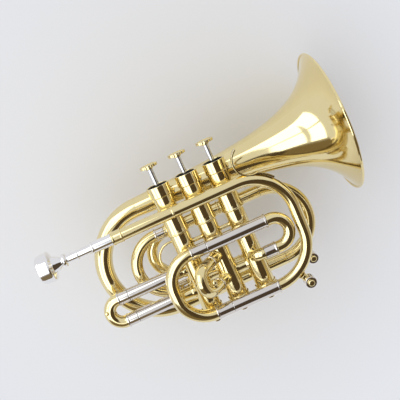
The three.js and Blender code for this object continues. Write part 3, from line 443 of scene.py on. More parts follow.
# %% [markdown]
# Caps, cups, ferrules, straight tubes and the bell are all turned on a lathe or spun over a
# mandrel. So they are a closed profile spun once round. A profile is a list of (height, radius).
# Bevelling the profile's corners before the spin rounds every edge of the finished piece, as
# polishing does. Smooth shading would let those rounded ends bend the light along the whole tube,
# so each long stretch gets a point close to either end that holds it straight.

# %% Turned pieces
HOLD = 0.25
LONG_STRETCH = 6 * HOLD


def hold_ends(edge):
    length = edge.calc_length()
    near, far = edge.verts
    _, middle = bmesh.utils.edge_split(edge, near, HOLD * MM / length)
    rest = next(e for e in middle.link_edges if far in e.verts)
    bmesh.utils.edge_split(rest, far, HOLD * MM / rest.calc_length())


def turned(name, profile, finish, centre=(0, 0, 0), along=UP, rounding=0.25, steps=64, **rest):
    bm = bmesh.new()
    points = [bm.verts.new((radius * MM, 0, height * MM)) for height, radius in profile]
    for here, there in zip(points, points[1:] + points[:1]):
        bm.edges.new((here, there))
    if rounding:
        corners = [v for v in bm.verts if v.co.x > 0]
        bmesh.ops.bevel(bm, geom=corners, offset=rounding * MM, segments=3, profile=0.5,
                        affect="VERTICES", clamp_overlap=True, material=-1)
        for edge in [e for e in bm.edges if e.calc_length() > LONG_STRETCH * MM]:
            hold_ends(edge)
    bmesh.ops.spin(bm, geom=bm.verts[:] + bm.edges[:], cent=(0, 0, 0), axis=(0, 0, 1),
                   angle=2 * math.pi, steps=steps, use_merge=True)
    turn_and_move(bm, UP.rotation_difference(Vector(along)).to_matrix(), Vector(centre) * MM)
    return make_piece(bm, name, finish, **rest)


# %% [markdown]
# A straight tube is the same thing with a simple profile: a thin wall, and bands that stand proud
# of it where a ring or a bead is turned.

# %% Profile of a tube
TUBE_WALL = 0.6


def tube_profile(low, high, radius, bands=()):
    outside = [(low, radius)]
    for band_low, band_high, proud in bands:
        outside += [(band_low, radius), (band_low, radius + proud),
                    (band_high, radius + proud), (band_high, radius)]
    outside.append((high, radius))
    kept = [p for i, p in enumerate(outside) if i == 0 or p != outside[i - 1]]
    return [(low, radius - TUBE_WALL), *kept, (high, radius - TUBE_WALL)]


print("a plain tube's profile:", tube_profile(0, 10, 5))

# %% [markdown]
# Bows are straight tube that was filled with pitch and bent round a form. The same happens here:
# a circle is extruded along the straight run, then extruded and turned step by step about the
# bend's centre. A curve with a bevel would be quicker, but its rings can't be widened along the way
# or held where straight meets round.
#
# A path is a list of moves: (length,) goes straight on, and (radius, degrees, side) bends towards
# a side. This helper cuts it into short steps of (size, angle, side, length). Each bend starts and
# ends with a very small step, which keeps the shading of the straight parts straight.

# %% Steps along a path
BEND_STEP = math.radians(4)
HOLD_SHARE = 0.08


def path_steps(path):
    steps = []
    for move in path:
        if len(move) == 1:
            held = min(HOLD, move[0] / 3)
            steps += [(run, None, None, run) for run in (held, move[0] - 2 * held, held)]
        else:
            bend_radius, degrees, bend_side = move
            count = max(2, round(math.radians(degrees) / BEND_STEP))
            step = math.radians(degrees) / count
            for share in (HOLD_SHARE, 1 - HOLD_SHARE, *[1] * (count - 2), 1 - HOLD_SHARE, HOLD_SHARE):
                steps.append((bend_radius, share * step, bend_side, bend_radius * share * step))
    return steps


print("a quarter bend takes", len(path_steps([(20, 90, DOWN)])), "steps")

# %% [markdown]
# The bending itself draws the circle out along those steps. A bow that widens has its circle scaled
# a little at every step. Solidify then gives the tube its wall, inwards, so the outside keeps its
# measured size.

# %% Bent tubes
def bent_tube(name, start, heading, path, radius, finish, end_radius=None, sides=40, **rest):
    bm = bmesh.new()
    ring = bmesh.ops.create_circle(bm, radius=radius * MM, segments=sides)["verts"]
    edges = bm.edges[:]
    centre = Vector(start) * MM
    turn_and_move(bm, UP.rotation_difference(heading).to_matrix(), centre, ring)
    steps = path_steps(path)
    whole_length = sum(step[3] for step in steps)
    widening = (end_radius or radius) / radius
    heading = Vector(heading)
    side = None
    for size, angle, towards_side, length in steps:
        new = bmesh.ops.extrude_edge_only(bm, edges=edges)["geom"]
        ring = [g for g in new if isinstance(g, bmesh.types.BMVert)]
        on_ring = set(ring)
        edges = [g for g in new if isinstance(g, bmesh.types.BMEdge) and set(g.verts) <= on_ring]
        if angle is None:
            bmesh.ops.translate(bm, vec=heading * size * MM, verts=ring)
            centre = centre + heading * size * MM
            side = None
        else:
            if side is None or towards_side is not side[0]:
                side = [towards_side, Vector(towards_side)]
            pivot = centre + side[1] * size * MM
            turn = Matrix.Rotation(angle, 3, heading.cross(side[1]))
            bmesh.ops.rotate(bm, cent=pivot, matrix=turn, verts=ring)
            centre = pivot + turn @ (centre - pivot)
            heading = turn @ heading
            side[1] = turn @ side[1]
        if widening != 1:
            growth = widening ** (length / whole_length)
            bmesh.ops.scale(bm, vec=(growth,) * 3, space=Matrix.Translation(-centre), verts=ring)
    piece = make_piece(bm, name, finish, **rest)
    shell = piece.modifiers.new("wall", "SOLIDIFY")
    shell.thickness = TUBE_WALL * MM
    shell.offset = -1
    print(name, "ends at", [round(c / MM, 1) for c in centre])
    return piece


# %% [markdown]
# The valve block is three long cylinders. Each casing is drawn tube with a thin bead round it, and
# its neck is a little thicker above the bead. The top cap screws over its upper end and has a felt
# washer sunk in its dished top. The bottom cap has a small vented nub. Each is a profile first.

# %% Profiles of the valve block
VALVE_PITCH = 26.5
VALVES = [(1, -VALVE_PITCH), (2, 0), (3, VALVE_PITCH)]
CASING_TOP, CASING_BOTTOM, CASING_RADIUS, CASING_BORE = 21.5, -104, 9.1, 8.5
BEAD_CENTRE = -21.6
NECK_RADIUS = CASING_RADIUS + 0.45
CAP_TOP, CAP_RADIUS, CAP_BORE = 24.4, 10.5, 9.4
CAP_FOOT = CAP_TOP - 10.3
CAP_FLOOR, STEM_HOLE = 21.8, 2.7
NUB_END, VENT_RADIUS = -112.4, 2

casing_profile = [
    (CASING_BOTTOM, CASING_BORE), (CASING_BOTTOM, CASING_RADIUS), (BEAD_CENTRE - 1, CASING_RADIUS),
    (BEAD_CENTRE - 0.8, CASING_RADIUS + 0.8), (BEAD_CENTRE - 0.3, CASING_RADIUS + 1.2),
    (BEAD_CENTRE + 0.3, CASING_RADIUS + 1.2), (BEAD_CENTRE + 0.8, CASING_RADIUS + 0.8),
    (BEAD_CENTRE + 3.5, NECK_RADIUS), (CAP_FOOT - 0.15, NECK_RADIUS),
    (CAP_FOOT - 0.15, CASING_RADIUS), (CASING_TOP, CASING_RADIUS), (CASING_TOP, CASING_BORE),
]
top_cap_profile = [
    (CAP_FOOT, CAP_BORE), (CAP_FOOT, 10.1), (CAP_FOOT + 0.5, 10.3), (CAP_TOP - 1, CAP_RADIUS),
    (CAP_TOP, CAP_RADIUS), (CAP_TOP, 9.7), (CAP_TOP - 1.7, 9.2), (CAP_TOP - 1.7, STEM_HOLE),
    (CAP_FLOOR, STEM_HOLE), (CAP_FLOOR, CAP_BORE),
]
felt_profile = [(22.8, 2.8), (22.8, 9), (24.1, 9), (24.3, 7.8), (24.3, 2.8)]
bottom_cap_profile = [
    (-96.4, CAP_BORE), (-96.4, 10), (-99, 10), (-99, 9.8), (-99.4, 9.8), (-99.4, 10), (-107.6, 10),
    (-108.4, 9.2), (-108.4, 4), (-109.6, 3.3), (-112, 3.2), (NUB_END, 2.6), (NUB_END, VENT_RADIUS),
    (-106.4, VENT_RADIUS), (-106.4, CAP_BORE),
]
print("the valve block reaches from", NUB_END, "to", CAP_TOP, "mm")

# %% [markdown]
# The three valves are alike, so one loop spins each profile at each valve's place. They are wide and
# round and seen from close by, so they get more sides than a thin tube.

# %% Valve casings and caps
VALVE_SIDES = 80

for number, x in VALVES:
    spot = (x, 0, 0)
    turned(f"valve_casing_{number}", casing_profile, brass, spot, rounding=0.15, steps=VALVE_SIDES,
           stands_for=[f"casing_{number}"])
    turned(f"valve_top_cap_{number}", top_cap_profile, brass, spot, rounding=0.15, steps=VALVE_SIDES,
           stands_for=[f"top_cap_{number}"])
    turned(f"valve_felt_{number}", felt_profile, felt, spot, rounding=0.25, steps=48,
           stands_for=[f"cap_felt_{number}"])
    turned(f"valve_bottom_cap_{number}", bottom_cap_profile, brass, spot, rounding=0.12,
           steps=VALVE_SIDES, stands_for=[f"bottom_cap_{number}"])

# %% [markdown]
# A tube that meets a casing is filed to a saddle, so that it sits on the round wall without a gap.
# Cutting the tube with the casing would do it too, but leaves ragged faces. This helper slides the
# points at the end of a finished tube along it until each rests on the casing. `outward` points
# away from the casing's axis.

# %% Saddle ends
END_DEPTH = 0.35


def sit_on_casing(piece, outward, casing_x):
    axis = Vector((outward[0], outward[1], 0)).normalized()
    casing = Vector((casing_x * MM, 0, 0))
    rows = []
    for vertex in piece.data.vertices:
        spot = vertex.co - casing
        spot.z = 0
        rows.append((spot.dot(axis), spot.cross(axis).length, vertex))
    end = min(row[0] for row in rows)
    for along, across, vertex in rows:
        if along < end + END_DEPTH * MM:
            surface = math.sqrt((CASING_RADIUS * MM) ** 2 - across ** 2)
            vertex.co += axis * (surface - end)
    print(piece.name, "sits on the casing at", casing_x)


# %% [markdown]
# A finger button is a thin brass disc whose edge is scalloped for grip. The disc is a circle with
# many sides, extruded. Then each point of its edge is drawn in by a share that swells and fades
# sixteen times on the way round, which gives the scallops. Insets dish the top. A cutter could
# carve the scallops too, but would leave more and worse faces.

# %% Scalloped disc
BUTTON_RADIUS, BUTTON_THICKNESS, COLLAR_HEIGHT = 8.1, 4, 1.4
SCALLOPS = 16
POINTS_PER_SCALLOP = 6
SCALLOP_DEPTH, SCALLOP_START = 0.055, 0.55


def scalloped_disc():
    height = (BUTTON_THICKNESS - COLLAR_HEIGHT) * MM
    bm = bmesh.new()
    bmesh.ops.create_circle(bm, cap_ends=True, radius=BUTTON_RADIUS * MM,
                            segments=SCALLOPS * POINTS_PER_SCALLOP)
    up = bmesh.ops.extrude_face_region(bm, geom=bm.faces[:])["geom"]
    upper = [g for g in up if isinstance(g, bmesh.types.BMVert)]
    bmesh.ops.translate(bm, vec=(0, 0, height), verts=upper)
    for vert in bm.verts:
        share = (math.atan2(vert.co.y, vert.co.x) / (2 * math.pi) * SCALLOPS) % 1
        swell = max(0, math.sin(math.pi * share) - SCALLOP_START) / (1 - SCALLOP_START)
        draw = 1 - SCALLOP_DEPTH * swell
        bmesh.ops.scale(bm, vec=(draw, draw, 1), verts=[vert])
    top = max(bm.faces, key=lambda face: face.calc_center_median().z)
    bottom = min(bm.faces, key=lambda face: face.calc_center_median().z)
    bmesh.ops.inset_region(bm, faces=[top, bottom], thickness=0.35 * MM, depth=0.25 * MM)
    bmesh.ops.inset_region(bm, faces=[top], thickness=0.9 * MM)
    bmesh.ops.inset_region(bm, faces=[top], thickness=0.5 * MM, depth=-0.7 * MM)
    bmesh.ops.scale(bm, vec=(1, 1, height / (height + 0.5 * MM)), verts=bm.verts)
    return bm


# %% [markdown]
# The disc sits on a collar, which is screwed on a bright steel stem. All three go down together
# when the valve is pressed, so they ride on the valve's body.

# %% Stems and finger buttons
BUTTON_SEAT = 39.9
STEM_FOOT, STEM_TOP, STEM_RADIUS = 19, 39.6, 2.45
DISC_LIFT = 0.25

for number, x in VALVES:
    body = f"valve_{number}"
    spot = (x, 0, 0)
    turned(f"valve_stem_{number}", [
        (STEM_FOOT, 0), (STEM_FOOT, STEM_RADIUS), (STEM_TOP, STEM_RADIUS), (STEM_TOP, 0),
    ], stem_metal, spot, rounding=0.1, steps=40, body=body)
    turned(f"button_collar_{number}", [
        (BUTTON_SEAT, 0), (BUTTON_SEAT, 3.4), (BUTTON_SEAT + 2, 3.6), (BUTTON_SEAT + 2, 0),
    ], brass, spot, rounding=0.2, steps=40, body=body)
    disc = scalloped_disc()
    place = Vector((x, 0, BUTTON_SEAT + COLLAR_HEIGHT + DISC_LIFT)) * MM
    bmesh.ops.translate(disc, vec=place, verts=disc.verts)
    make_piece(disc, f"scalloped_button_{number}", brass, body=body,
               stands_for=[f"finger_button_{number}"], corner=40)

# %% [markdown]
# A spring under each piston lifts it again. It is wound from one wire: a small disc is spun round
# the valve's axis and raised a little at every step. The first and last turns lie close, so that
# the spring stands flat. A Screw modifier could wind it too, but only with one rise all the way.
# Each spring gets a mesh of its own.

# %% Piston springs
SPRING_RADIUS, WIRE_RADIUS, OPEN_TURNS, VALVE_STROKE = 6, 0.5, 4, 15.5
STEPS_PER_TURN = 32
CLOSE_TURN_RISE = 2.2 * WIRE_RADIUS
QUARTER_TURN = Matrix.Rotation(math.pi / 2, 3, "X")

for number, x in VALVES:
    low, high = (corner[2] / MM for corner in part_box(f"piston_spring_{number}"))
    open_rise = high - low - 2 * WIRE_RADIUS - 2 * CLOSE_TURN_RISE
    bm = bmesh.new()
    bmesh.ops.create_circle(bm, cap_ends=True, radius=WIRE_RADIUS * MM, segments=12)
    turn_and_move(bm, QUARTER_TURN, Vector((x + SPRING_RADIUS, 0, low + WIRE_RADIUS)) * MM)
    wire_end = bm.verts[:] + bm.edges[:] + bm.faces[:]
    for turns, rise in ((1, CLOSE_TURN_RISE), (OPEN_TURNS, open_rise), (1, CLOSE_TURN_RISE)):
        steps = turns * STEPS_PER_TURN
        wire_end = bmesh.ops.spin(bm, geom=wire_end, cent=(x * MM, 0, 0), axis=(0, 0, 1),
                                  angle=2 * math.pi * turns, steps=steps,
                                  dvec=(0, 0, rise / steps * MM))["geom_last"]
    spring = make_piece(bm, f"wound_spring_{number}", spring_wire,
                        stands_for=[f"piston_spring_{number}"])
    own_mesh(spring)
    print(spring.name, "is", round(high - low, 1), "mm long at rest")

# %% [markdown]
# Between the casings run short knuckle tubes and small turned braces. They are soldered on, and
# the solder leaves a soft fillet, so each one flares a little at both ends.

# %% Knuckles and braces
KNUCKLE_RADIUS, BRACE_RADIUS, BRACE_HEIGHT = 4.9, 2, -34.2
SUNK, FILLET_WIDTH, FILLET_LENGTH = 0.3, 0.5, 0.8


def between_casings(name, index, height, radius, node):
    start = VALVES[index][1] + CASING_RADIUS - SUNK
    length = VALVE_PITCH - 2 * CASING_RADIUS + 2 * SUNK
    flare = radius + FILLET_WIDTH
    tube = turned(name, [
        (0, 0), (0, flare), (FILLET_LENGTH, radius), (length - FILLET_LENGTH, radius),
        (length, flare), (length, 0),
    ], brass, (start, 0, height), FORWARD, rounding=0.15, steps=48, stands_for=[node])
    sit_on_casing(tube, FORWARD, VALVES[index][1])
    sit_on_casing(tube, BACK, VALVES[index + 1][1])


between_casings("knuckle_tube_1_2", 0, -65.5, KNUCKLE_RADIUS, "knuckle_1_2")
between_casings("knuckle_tube_2_3", 1, -74, KNUCKLE_RADIUS, "knuckle_2_3")
for pair, index in (("1_2", 0), ("2_3", 1)):
    between_casings(f"upper_brace_{pair}", index, BRACE_HEIGHT, BRACE_RADIUS, f"casing_brace_{pair}")

# %% [markdown]
# The mouthpiece is turned from one bar and silver plated: a rounded rim, a cup, a throat and a
# long taper. Its profile runs over the outside to the end of the shank and back up the bore. The
# receiver is the silver tube that it is pushed into.

# %% Mouthpiece and receiver
LEAD_Y = -17
LEAD_START = -79.7
SHANK_END = LEAD_START + 2.7
MOUTHPIECE_LENGTH = 70.9
rim = SHANK_END - MOUTHPIECE_LENGTH
mouthpiece_profile = [
    (0.9, 8.3), (0.2, 8.8), (0, 9.4), (0, 10.2), (0.3, 11.4), (1.2, 12.4), (3, 12.9), (6, 13.2),
    (10, 13.4), (11.4, 13.2), (12.2, 12.4), (12.6, 10.6), (13.4, 8.2), (15, 7.3), (17.5, 6.3),
    (20.1, 4.7), (21.3, 3.9), (21.9, 3.7), (22, 5), (22.6, 5.9), (23.6, 6.1), (24.6, 5.9), (25.2, 5),
    (25.3, 3.7), (26.5, 3.5), (34.9, 3.9), (35.1, 4.3), (35.6, 4.4), (36.1, 4.3), (36.3, 3.9),
    (43.3, 3.9), (MOUTHPIECE_LENGTH, 3.7), (MOUTHPIECE_LENGTH, 3.1), (16, 1.85), (13, 1.85),
    (12, 3.2), (10.5, 5.3), (8, 6.9), (5, 7.7), (2, 8.1),
]
turned("silver_mouthpiece", [(rim + along, radius) for along, radius in mouthpiece_profile],
       silver_plate, (0, LEAD_Y, 0), FORWARD, rounding=0.2, steps=80, body="mouthpiece_body",
       stands_for=["mouthpiece"])
turned("silver_receiver", [
    (-99, 4.3), (-99, 5.3), (-98.6, 5.7), (-97.4, 5.7), (-97, 5.2), (-80, 5.2), (-80, 4.3),
], silver_plate, (0, LEAD_Y, 0), FORWARD, rounding=0.15, stands_for=["mouthpiece_receiver"])

# %% [markdown]
# The leadpipe starts in a short collar with two fine rings and runs straight past the valves. Its
# big bow carries the sound down to the main tuning slide. The bow is a separate tube, and a thin
# joint line shows where it begins.

# %% Leadpipe and its bow
LEAD_RADIUS, LEAD_BORE = 5.3, 4.7
LEAD_JOINT, LEAD_BOW_RADIUS = -22.3, 38.5
turned("leadpipe_tube", [
    (LEAD_START, LEAD_BORE), (LEAD_START, 6), (-79, 6.2), (-78.2, 6), (-78, 5.9), (-71.6, 5.9),
    (-71.4, 6.1), (-70.6, 6.1), (-70.3, LEAD_RADIUS), (-23.6, LEAD_RADIUS), (-23.5, 5.5),
    (-22.9, 5.6), (LEAD_JOINT, 5.5), (LEAD_JOINT, LEAD_BORE),
], brass, (0, LEAD_Y, 0), FORWARD, rounding=0.12, stands_for=["leadpipe"])
bent_tube("big_leadpipe_bow", (LEAD_JOINT, LEAD_Y, 0), FORWARD,
          [(58.8,), (LEAD_BOW_RADIUS, 90, DOWN), (22.5,), (LEAD_BOW_RADIUS, 90, BACK)],
          LEAD_RADIUS, brass, stands_for=["leadpipe_bow"])
turned("leadpipe_stay", [(0, 0), (0, 3.4), (0.7, 3), (1.7, 3), (2.4, 3.4), (2.4, 0)], brass,
       (0, -11.6, 0), LEFT, rounding=0.15, steps=48, stands_for=["leadpipe_brace"])

# %% [markdown]
# A tuning slide is a brass crook with a nickel-silver ferrule at each end and thinner legs inside
# the outer sleeves. The bright rings at the ferrules' ends are turned beads. One helper makes the
# ferrules and the sleeves of all three long slides, because they are the same thing at other sizes.

# %% Ferrules and sleeves
BEAD_WIDTH = 1.6


def slide_ferrule(name, low, high, y, z, radius, body, heading=FORWARD, bead_low=True, bead_high=False,
                  finish=None, **rest):
    bands = []
    if bead_low:
        bands.append((low, low + BEAD_WIDTH, 0.5))
    if bead_high:
        bands.append((high - BEAD_WIDTH, high, 0.6))
    turned(name, tube_profile(low, high, radius, bands), finish or nickel_silver, (0, y, z),
           heading, rounding=0.2, body=body, **rest)


# %% [markdown]
# The main slide tunes the whole instrument. Its crook, its ferrules and its legs move together. The
# outer sleeves stay where they are, and a fine gap shows where the two meet.

# %% Main tuning slide
MAIN_TOP, MAIN_FOOT, MAIN_RADIUS, MAIN_CORNER = -40.3, -99.5, 5.8, 26
MAIN_JOINT, MAIN_FERRULE_END, MAIN_SPLIT, MAIN_LEG_END, MAIN_LEG_RADIUS = -23.8, -8.6, -8.3, 27.7, 5.1
bent_tube("main_slide_crook", (MAIN_JOINT, LEAD_Y, MAIN_TOP), BACK,
          [(1,), (MAIN_CORNER, 90, DOWN), (7.2,), (MAIN_CORNER, 90, FORWARD), (1,)],
          MAIN_RADIUS - 0.15, brass, body="main_tuning_slide", stands_for=["main_slide"])
for level, z, end in (("upper", MAIN_TOP, 47.8), ("lower", MAIN_FOOT, 36.2)):
    slide_ferrule(f"main_ferrule_{level}", MAIN_JOINT, MAIN_FERRULE_END, LEAD_Y, z, MAIN_RADIUS,
                  "main_tuning_slide")
    turned(f"main_leg_{level}", tube_profile(MAIN_FERRULE_END, MAIN_LEG_END, MAIN_LEG_RADIUS),
           stem_metal, (0, LEAD_Y, z), FORWARD, body="main_tuning_slide")
    slide_ferrule(f"main_outer_{level}", MAIN_SPLIT, end, LEAD_Y, z, MAIN_RADIUS, "trumpet",
                  bead_low=False, bead_high=True, stands_for=[f"main_sleeve_{level}"])

# %% [markdown]
# From the end of the main slide's upper sleeve a small bow turns the tube round, and an elbow leads
# it into the third valve. The bright ferrule between them has a bead at one end, in its profile.

# %% Small bow into the third valve
bent_tube("small_tuning_bow", (48.1, LEAD_Y, MAIN_TOP), FORWARD,
          [(2.4,), (13.1, 180, DOWN), (2.9,)], 5.4, brass, stands_for=["small_bow"])
turned("inlet_silver_ferrule", [
    (35.9, 4.8), (35.9, 5.8), (45.3, 5.8), (45.5, 6.1), (46.3, 6.3), (47.1, 6.1), (47.3, 5.8),
    (47.3, 4.8),
], nickel_silver, (0, LEAD_Y, -66.5), FORWARD, rounding=0.12, stands_for=["inlet_ferrule"])
inlet = bent_tube("inlet_valve_elbow", (35.6, LEAD_Y, -66.5), BACK, [(1.1,), (8, 90, LEFT), (1.5,)], 5.4,
                  brass, stands_for=["inlet_elbow"])
sit_on_casing(inlet, RIGHT, VALVE_PITCH)

# %% [markdown]
# The first slide sticks out towards the player, between the loops. Its silver sleeves end in short
# brass ports with a bead at either end, and the ports sit on the first casing. The small nub on the
# crook is for a finger.

# %% First slide
FIRST_TOP, FIRST_FOOT, FIRST_RADIUS = -55.9, -77.6, 5.8
FIRST_JOINT, FIRST_FERRULE_END, FIRST_SPLIT, FIRST_PORT, FIRST_CASING = -100.9, -90.4, -90.1, -50, -35.8
bent_tube("first_slide_crook", (FIRST_JOINT, 0, FIRST_TOP), BACK,
          [(0.8,), (10.85, 180, DOWN), (0.8,)], 5.65, brass, body="first_valve_slide",
          stands_for=["first_slide"])
for level, z in (("upper", FIRST_TOP), ("lower", FIRST_FOOT)):
    slide_ferrule(f"first_ferrule_{level}", FIRST_JOINT, FIRST_FERRULE_END, 0, z, FIRST_RADIUS,
                  "first_valve_slide")
    turned(f"first_leg_{level}", tube_profile(FIRST_FERRULE_END, -50.1, 5.1), stem_metal, (0, 0, z),
           FORWARD, body="first_valve_slide")
    slide_ferrule(f"first_outer_{level}", FIRST_SPLIT, FIRST_PORT, 0, z, FIRST_RADIUS, "trumpet",
                  bead_low=False, stands_for=[f"first_sleeve_{level}"])
    beads = [(FIRST_PORT, FIRST_PORT + 1.4, 0.6), (FIRST_CASING - BEAD_WIDTH, FIRST_CASING, 0.6)]
    port = turned(f"first_port_{level}", tube_profile(FIRST_PORT, FIRST_CASING, FIRST_RADIUS, beads),
                  brass, (0, 0, z), FORWARD, rounding=0.15)
    sit_on_casing(port, BACK, -VALVE_PITCH)

turned("first_slide_nub", [(5.4, 0), (5.4, 2), (6, 1.6), (6.6, 1.5), (7.2, 1.7), (7.6, 1.1), (7.7, 0)],
       brass, (-111.8, 0, -62.7), (-0.45, -0.89, 0), rounding=0.15, steps=32, body="first_valve_slide")

# %% [markdown]
# The second slide is the short one that leaves its valve towards the viewer and a little back. All
# its parts lie along that slanted heading, so their places are given as distances along it.

# %% Second slide
SECOND_HEADING = Vector((-0.587785, -0.809017, 0))
SECOND_TOP, SECOND_FOOT = -54.5, -76.5


def on_second(distance, z):
    return tuple(SECOND_HEADING * distance + Vector((0, 0, z)))


bent_tube("second_slide_crook", on_second(20.2, SECOND_TOP), SECOND_HEADING,
          [(11,), (11, 180, DOWN), (11,)], 5.3, brass, body="second_valve_slide",
          stands_for=["second_slide"])
for level, z in (("upper", SECOND_TOP), ("lower", SECOND_FOOT)):
    turned(f"second_ferrule_{level}", tube_profile(17.8, 20.2, 5.4, [(18.8, 20.2, 0.4)]),
           nickel_silver, (0, 0, z), SECOND_HEADING, rounding=0.15, body="second_valve_slide")
    turned(f"second_leg_{level}", tube_profile(10.8, 17.8, 4.7), stem_metal, (0, 0, z), SECOND_HEADING,
           body="second_valve_slide")
    sleeve = turned(f"second_outer_{level}", tube_profile(9.2, 17.5, 5.4, [(9.2, 11, 0.5)]), brass,
                    (0, 0, z), SECOND_HEADING, rounding=0.15, stands_for=[f"second_sleeve_{level}"])
    sit_on_casing(sleeve, SECOND_HEADING, 0)

# %% [markdown]
# The third slide hides behind the valves. Its sleeves are brass, and an elbow at the end of each
# leads sideways into the third casing.

# %% Third slide
THIRD_Y, THIRD_TOP, THIRD_FOOT, THIRD_RADIUS = 16, -19.6, -74.5, 5.6
THIRD_JOINT, THIRD_FERRULE_END, THIRD_SPLIT, THIRD_SLEEVE_END = -47.9, -38.9, -38.6, 15.2
bent_tube("third_slide_crook", (THIRD_JOINT, THIRD_Y, THIRD_TOP), BACK,
          [(0.6,), (27.45, 180, DOWN), (0.6,)], 5.5, brass, body="third_valve_slide",
          stands_for=["third_slide"])
for level, z in (("upper", THIRD_TOP), ("lower", THIRD_FOOT)):
    slide_ferrule(f"third_ferrule_{level}", THIRD_JOINT, THIRD_FERRULE_END, THIRD_Y, z, THIRD_RADIUS,
                  "third_valve_slide")
    turned(f"third_leg_{level}", tube_profile(THIRD_FERRULE_END, -8.6, 4.9), stem_metal,
           (0, THIRD_Y, z), FORWARD, body="third_valve_slide")
    slide_ferrule(f"third_outer_{level}", THIRD_SPLIT, THIRD_SLEEVE_END, THIRD_Y, z, THIRD_RADIUS,
                  "trumpet", bead_low=False, bead_high=True, finish=brass,
                  stands_for=[f"third_sleeve_{level}"])
    elbow = bent_tube(f"third_valve_elbow_{level}", (15.5, THIRD_Y, z), FORWARD,
                      [(3,), (8, 90, RIGHT), (0.5,)], THIRD_RADIUS, brass,
                      stands_for=[f"third_elbow_{level}"])
    sit_on_casing(elbow, LEFT, VALVE_PITCH)

# %% [markdown]
# The second slide's knob is a small ball on a boss, which a finger pulls. It points up and towards
# the viewer, and is turned with the slide.

# %% Second slide's knob
KNOB_DISTANCE, SLIDE_TURN = 28.9, 54
knob_lean = Vector((-0.36, -0.5, 0.78)).normalized()
knob_heading = Matrix.Rotation(math.radians(SLIDE_TURN), 3, "Z") @ knob_lean
knob_base = on_second(KNOB_DISTANCE, SECOND_FOOT)
turned("pull_knob", [
    (4.9, 0), (4.9, 3.6), (5.5, 3.4), (6.9, 2.3), (7.4, 1.9), (7.8, 2), (8.4, 2.6), (9.2, 2.95),
    (10, 3.05), (11, 2.85), (12, 2.2), (12.7, 1.2), (13, 0),
], brass, knob_base, knob_heading, rounding=0.2, steps=48, body="second_valve_slide",
       stands_for=["second_slide_knob"])

# %% [markdown]
# The bell is spun from one sheet over a mandrel. Its outline is a horn curve: the radius falls off
# as a power of the distance behind the rim. The stations along it crowd together near the rim,
# where it bends most. The rim is rolled over a wire, which makes a bead.

# %% Bell
BELL_Y, BELL_Z, RIM_X, STEM_X = 25, 9.8, 140, -53.5
RIM_RADIUS, STEM_BELL_RADIUS, FLARE = 65.3, 9.2, 26
BELL_WALL, BELL_SIDES, STATIONS = 0.8, 144, 40
RIM_ROLL = [(-0.9, 0.1), (-1, 0.7), (-0.4, 1.25), (0.5, 1.25), (1.2, 0.65), (1.3, -0.3), (0.9, -1)]
power = math.log(RIM_RADIUS / STEM_BELL_RADIUS) / math.log(1 + (RIM_X - STEM_X) / FLARE)
behind = [(RIM_X - STEM_X) * (i / STATIONS) ** 2 for i in range(STATIONS + 1)]
outside = [(RIM_X - b, RIM_RADIUS * (FLARE / (FLARE + b)) ** power) for b in reversed(behind)]
inside = [(x, radius - BELL_WALL) for x, radius in reversed(outside)]
rolled = [(RIM_X + forward, RIM_RADIUS + outward) for forward, outward in RIM_ROLL]
turned("bell_flare", outside[:-1] + rolled + inside[1:], brass, (0, BELL_Y, BELL_Z), FORWARD,
       rounding=0, steps=BELL_SIDES, stands_for=["bell"])

# %% [markdown]
# From the narrow end of the bell the tube runs through the widest bow, forward again low behind the
# valves, round the front bow, back once more and through a last bow into the first valve. Each bend
# is its own tube on a real trumpet, and so it is here. The tube narrows bit by bit on the way. The
# front bow leans a little, because the two tubes that it joins aren't one above the other.

# %% Bell bow and the tubes behind the valves
BELL_BOW_RADIUS, BELL_BOW_END, FRONT_BOW_RADIUS = 51, 7.3, 34.63
FOOT_Z, RETURN_Y, RETURN_Z = -92.2, 28, -23
FRONT_X, TAIL_X = 55.3, -39.1
FRONT_TUBE_RADIUS, TAIL_TUBE_RADIUS = 6, 5.4
bent_tube("bell_tail_bow", (STEM_X, BELL_Y, BELL_Z), BACK, [(0.3,), (BELL_BOW_RADIUS, 180, DOWN), (0.3,)],
          STEM_BELL_RADIUS, brass, end_radius=BELL_BOW_END, sides=56, stands_for=["bell_bow"])
turned("bell_lower_tube", [
    (STEM_X, BELL_BOW_END - TUBE_WALL), (STEM_X, BELL_BOW_END), (FRONT_X, FRONT_TUBE_RADIUS),
    (FRONT_X, FRONT_TUBE_RADIUS - TUBE_WALL),
], brass, (0, BELL_Y, FOOT_Z), FORWARD, stands_for=["bell_foot_tube"])
front_side = Vector((0, RETURN_Y - BELL_Y, RETURN_Z - FOOT_Z)).normalized()
bent_tube("front_tube_bow", (55.6, BELL_Y, FOOT_Z), FORWARD, [(FRONT_BOW_RADIUS, 180, front_side)],
          FRONT_TUBE_RADIUS, brass, stands_for=["front_bow"])
turned("return_tube_skin", [
    (TAIL_X, TAIL_TUBE_RADIUS - TUBE_WALL), (TAIL_X, TAIL_TUBE_RADIUS), (FRONT_X, FRONT_TUBE_RADIUS),
    (FRONT_X, FRONT_TUBE_RADIUS - TUBE_WALL),
], brass, (0, RETURN_Y, RETURN_Z), FORWARD, stands_for=["return_tube"])
tail = bent_tube("tail_tube_bow", (-39.4, RETURN_Y, RETURN_Z), BACK,
                 [(19.9, 180, DOWN), (12.9, 90, RIGHT), (6,)], TAIL_TUBE_RADIUS, brass,
                 stands_for=["tail_bow"])
sit_on_casing(tail, LEFT, -VALVE_PITCH)

# %% [markdown]
# The finger ring is one turn of round wire for a finger of the left hand. A torus would do, but a
# small circle spun once round says how it is made.

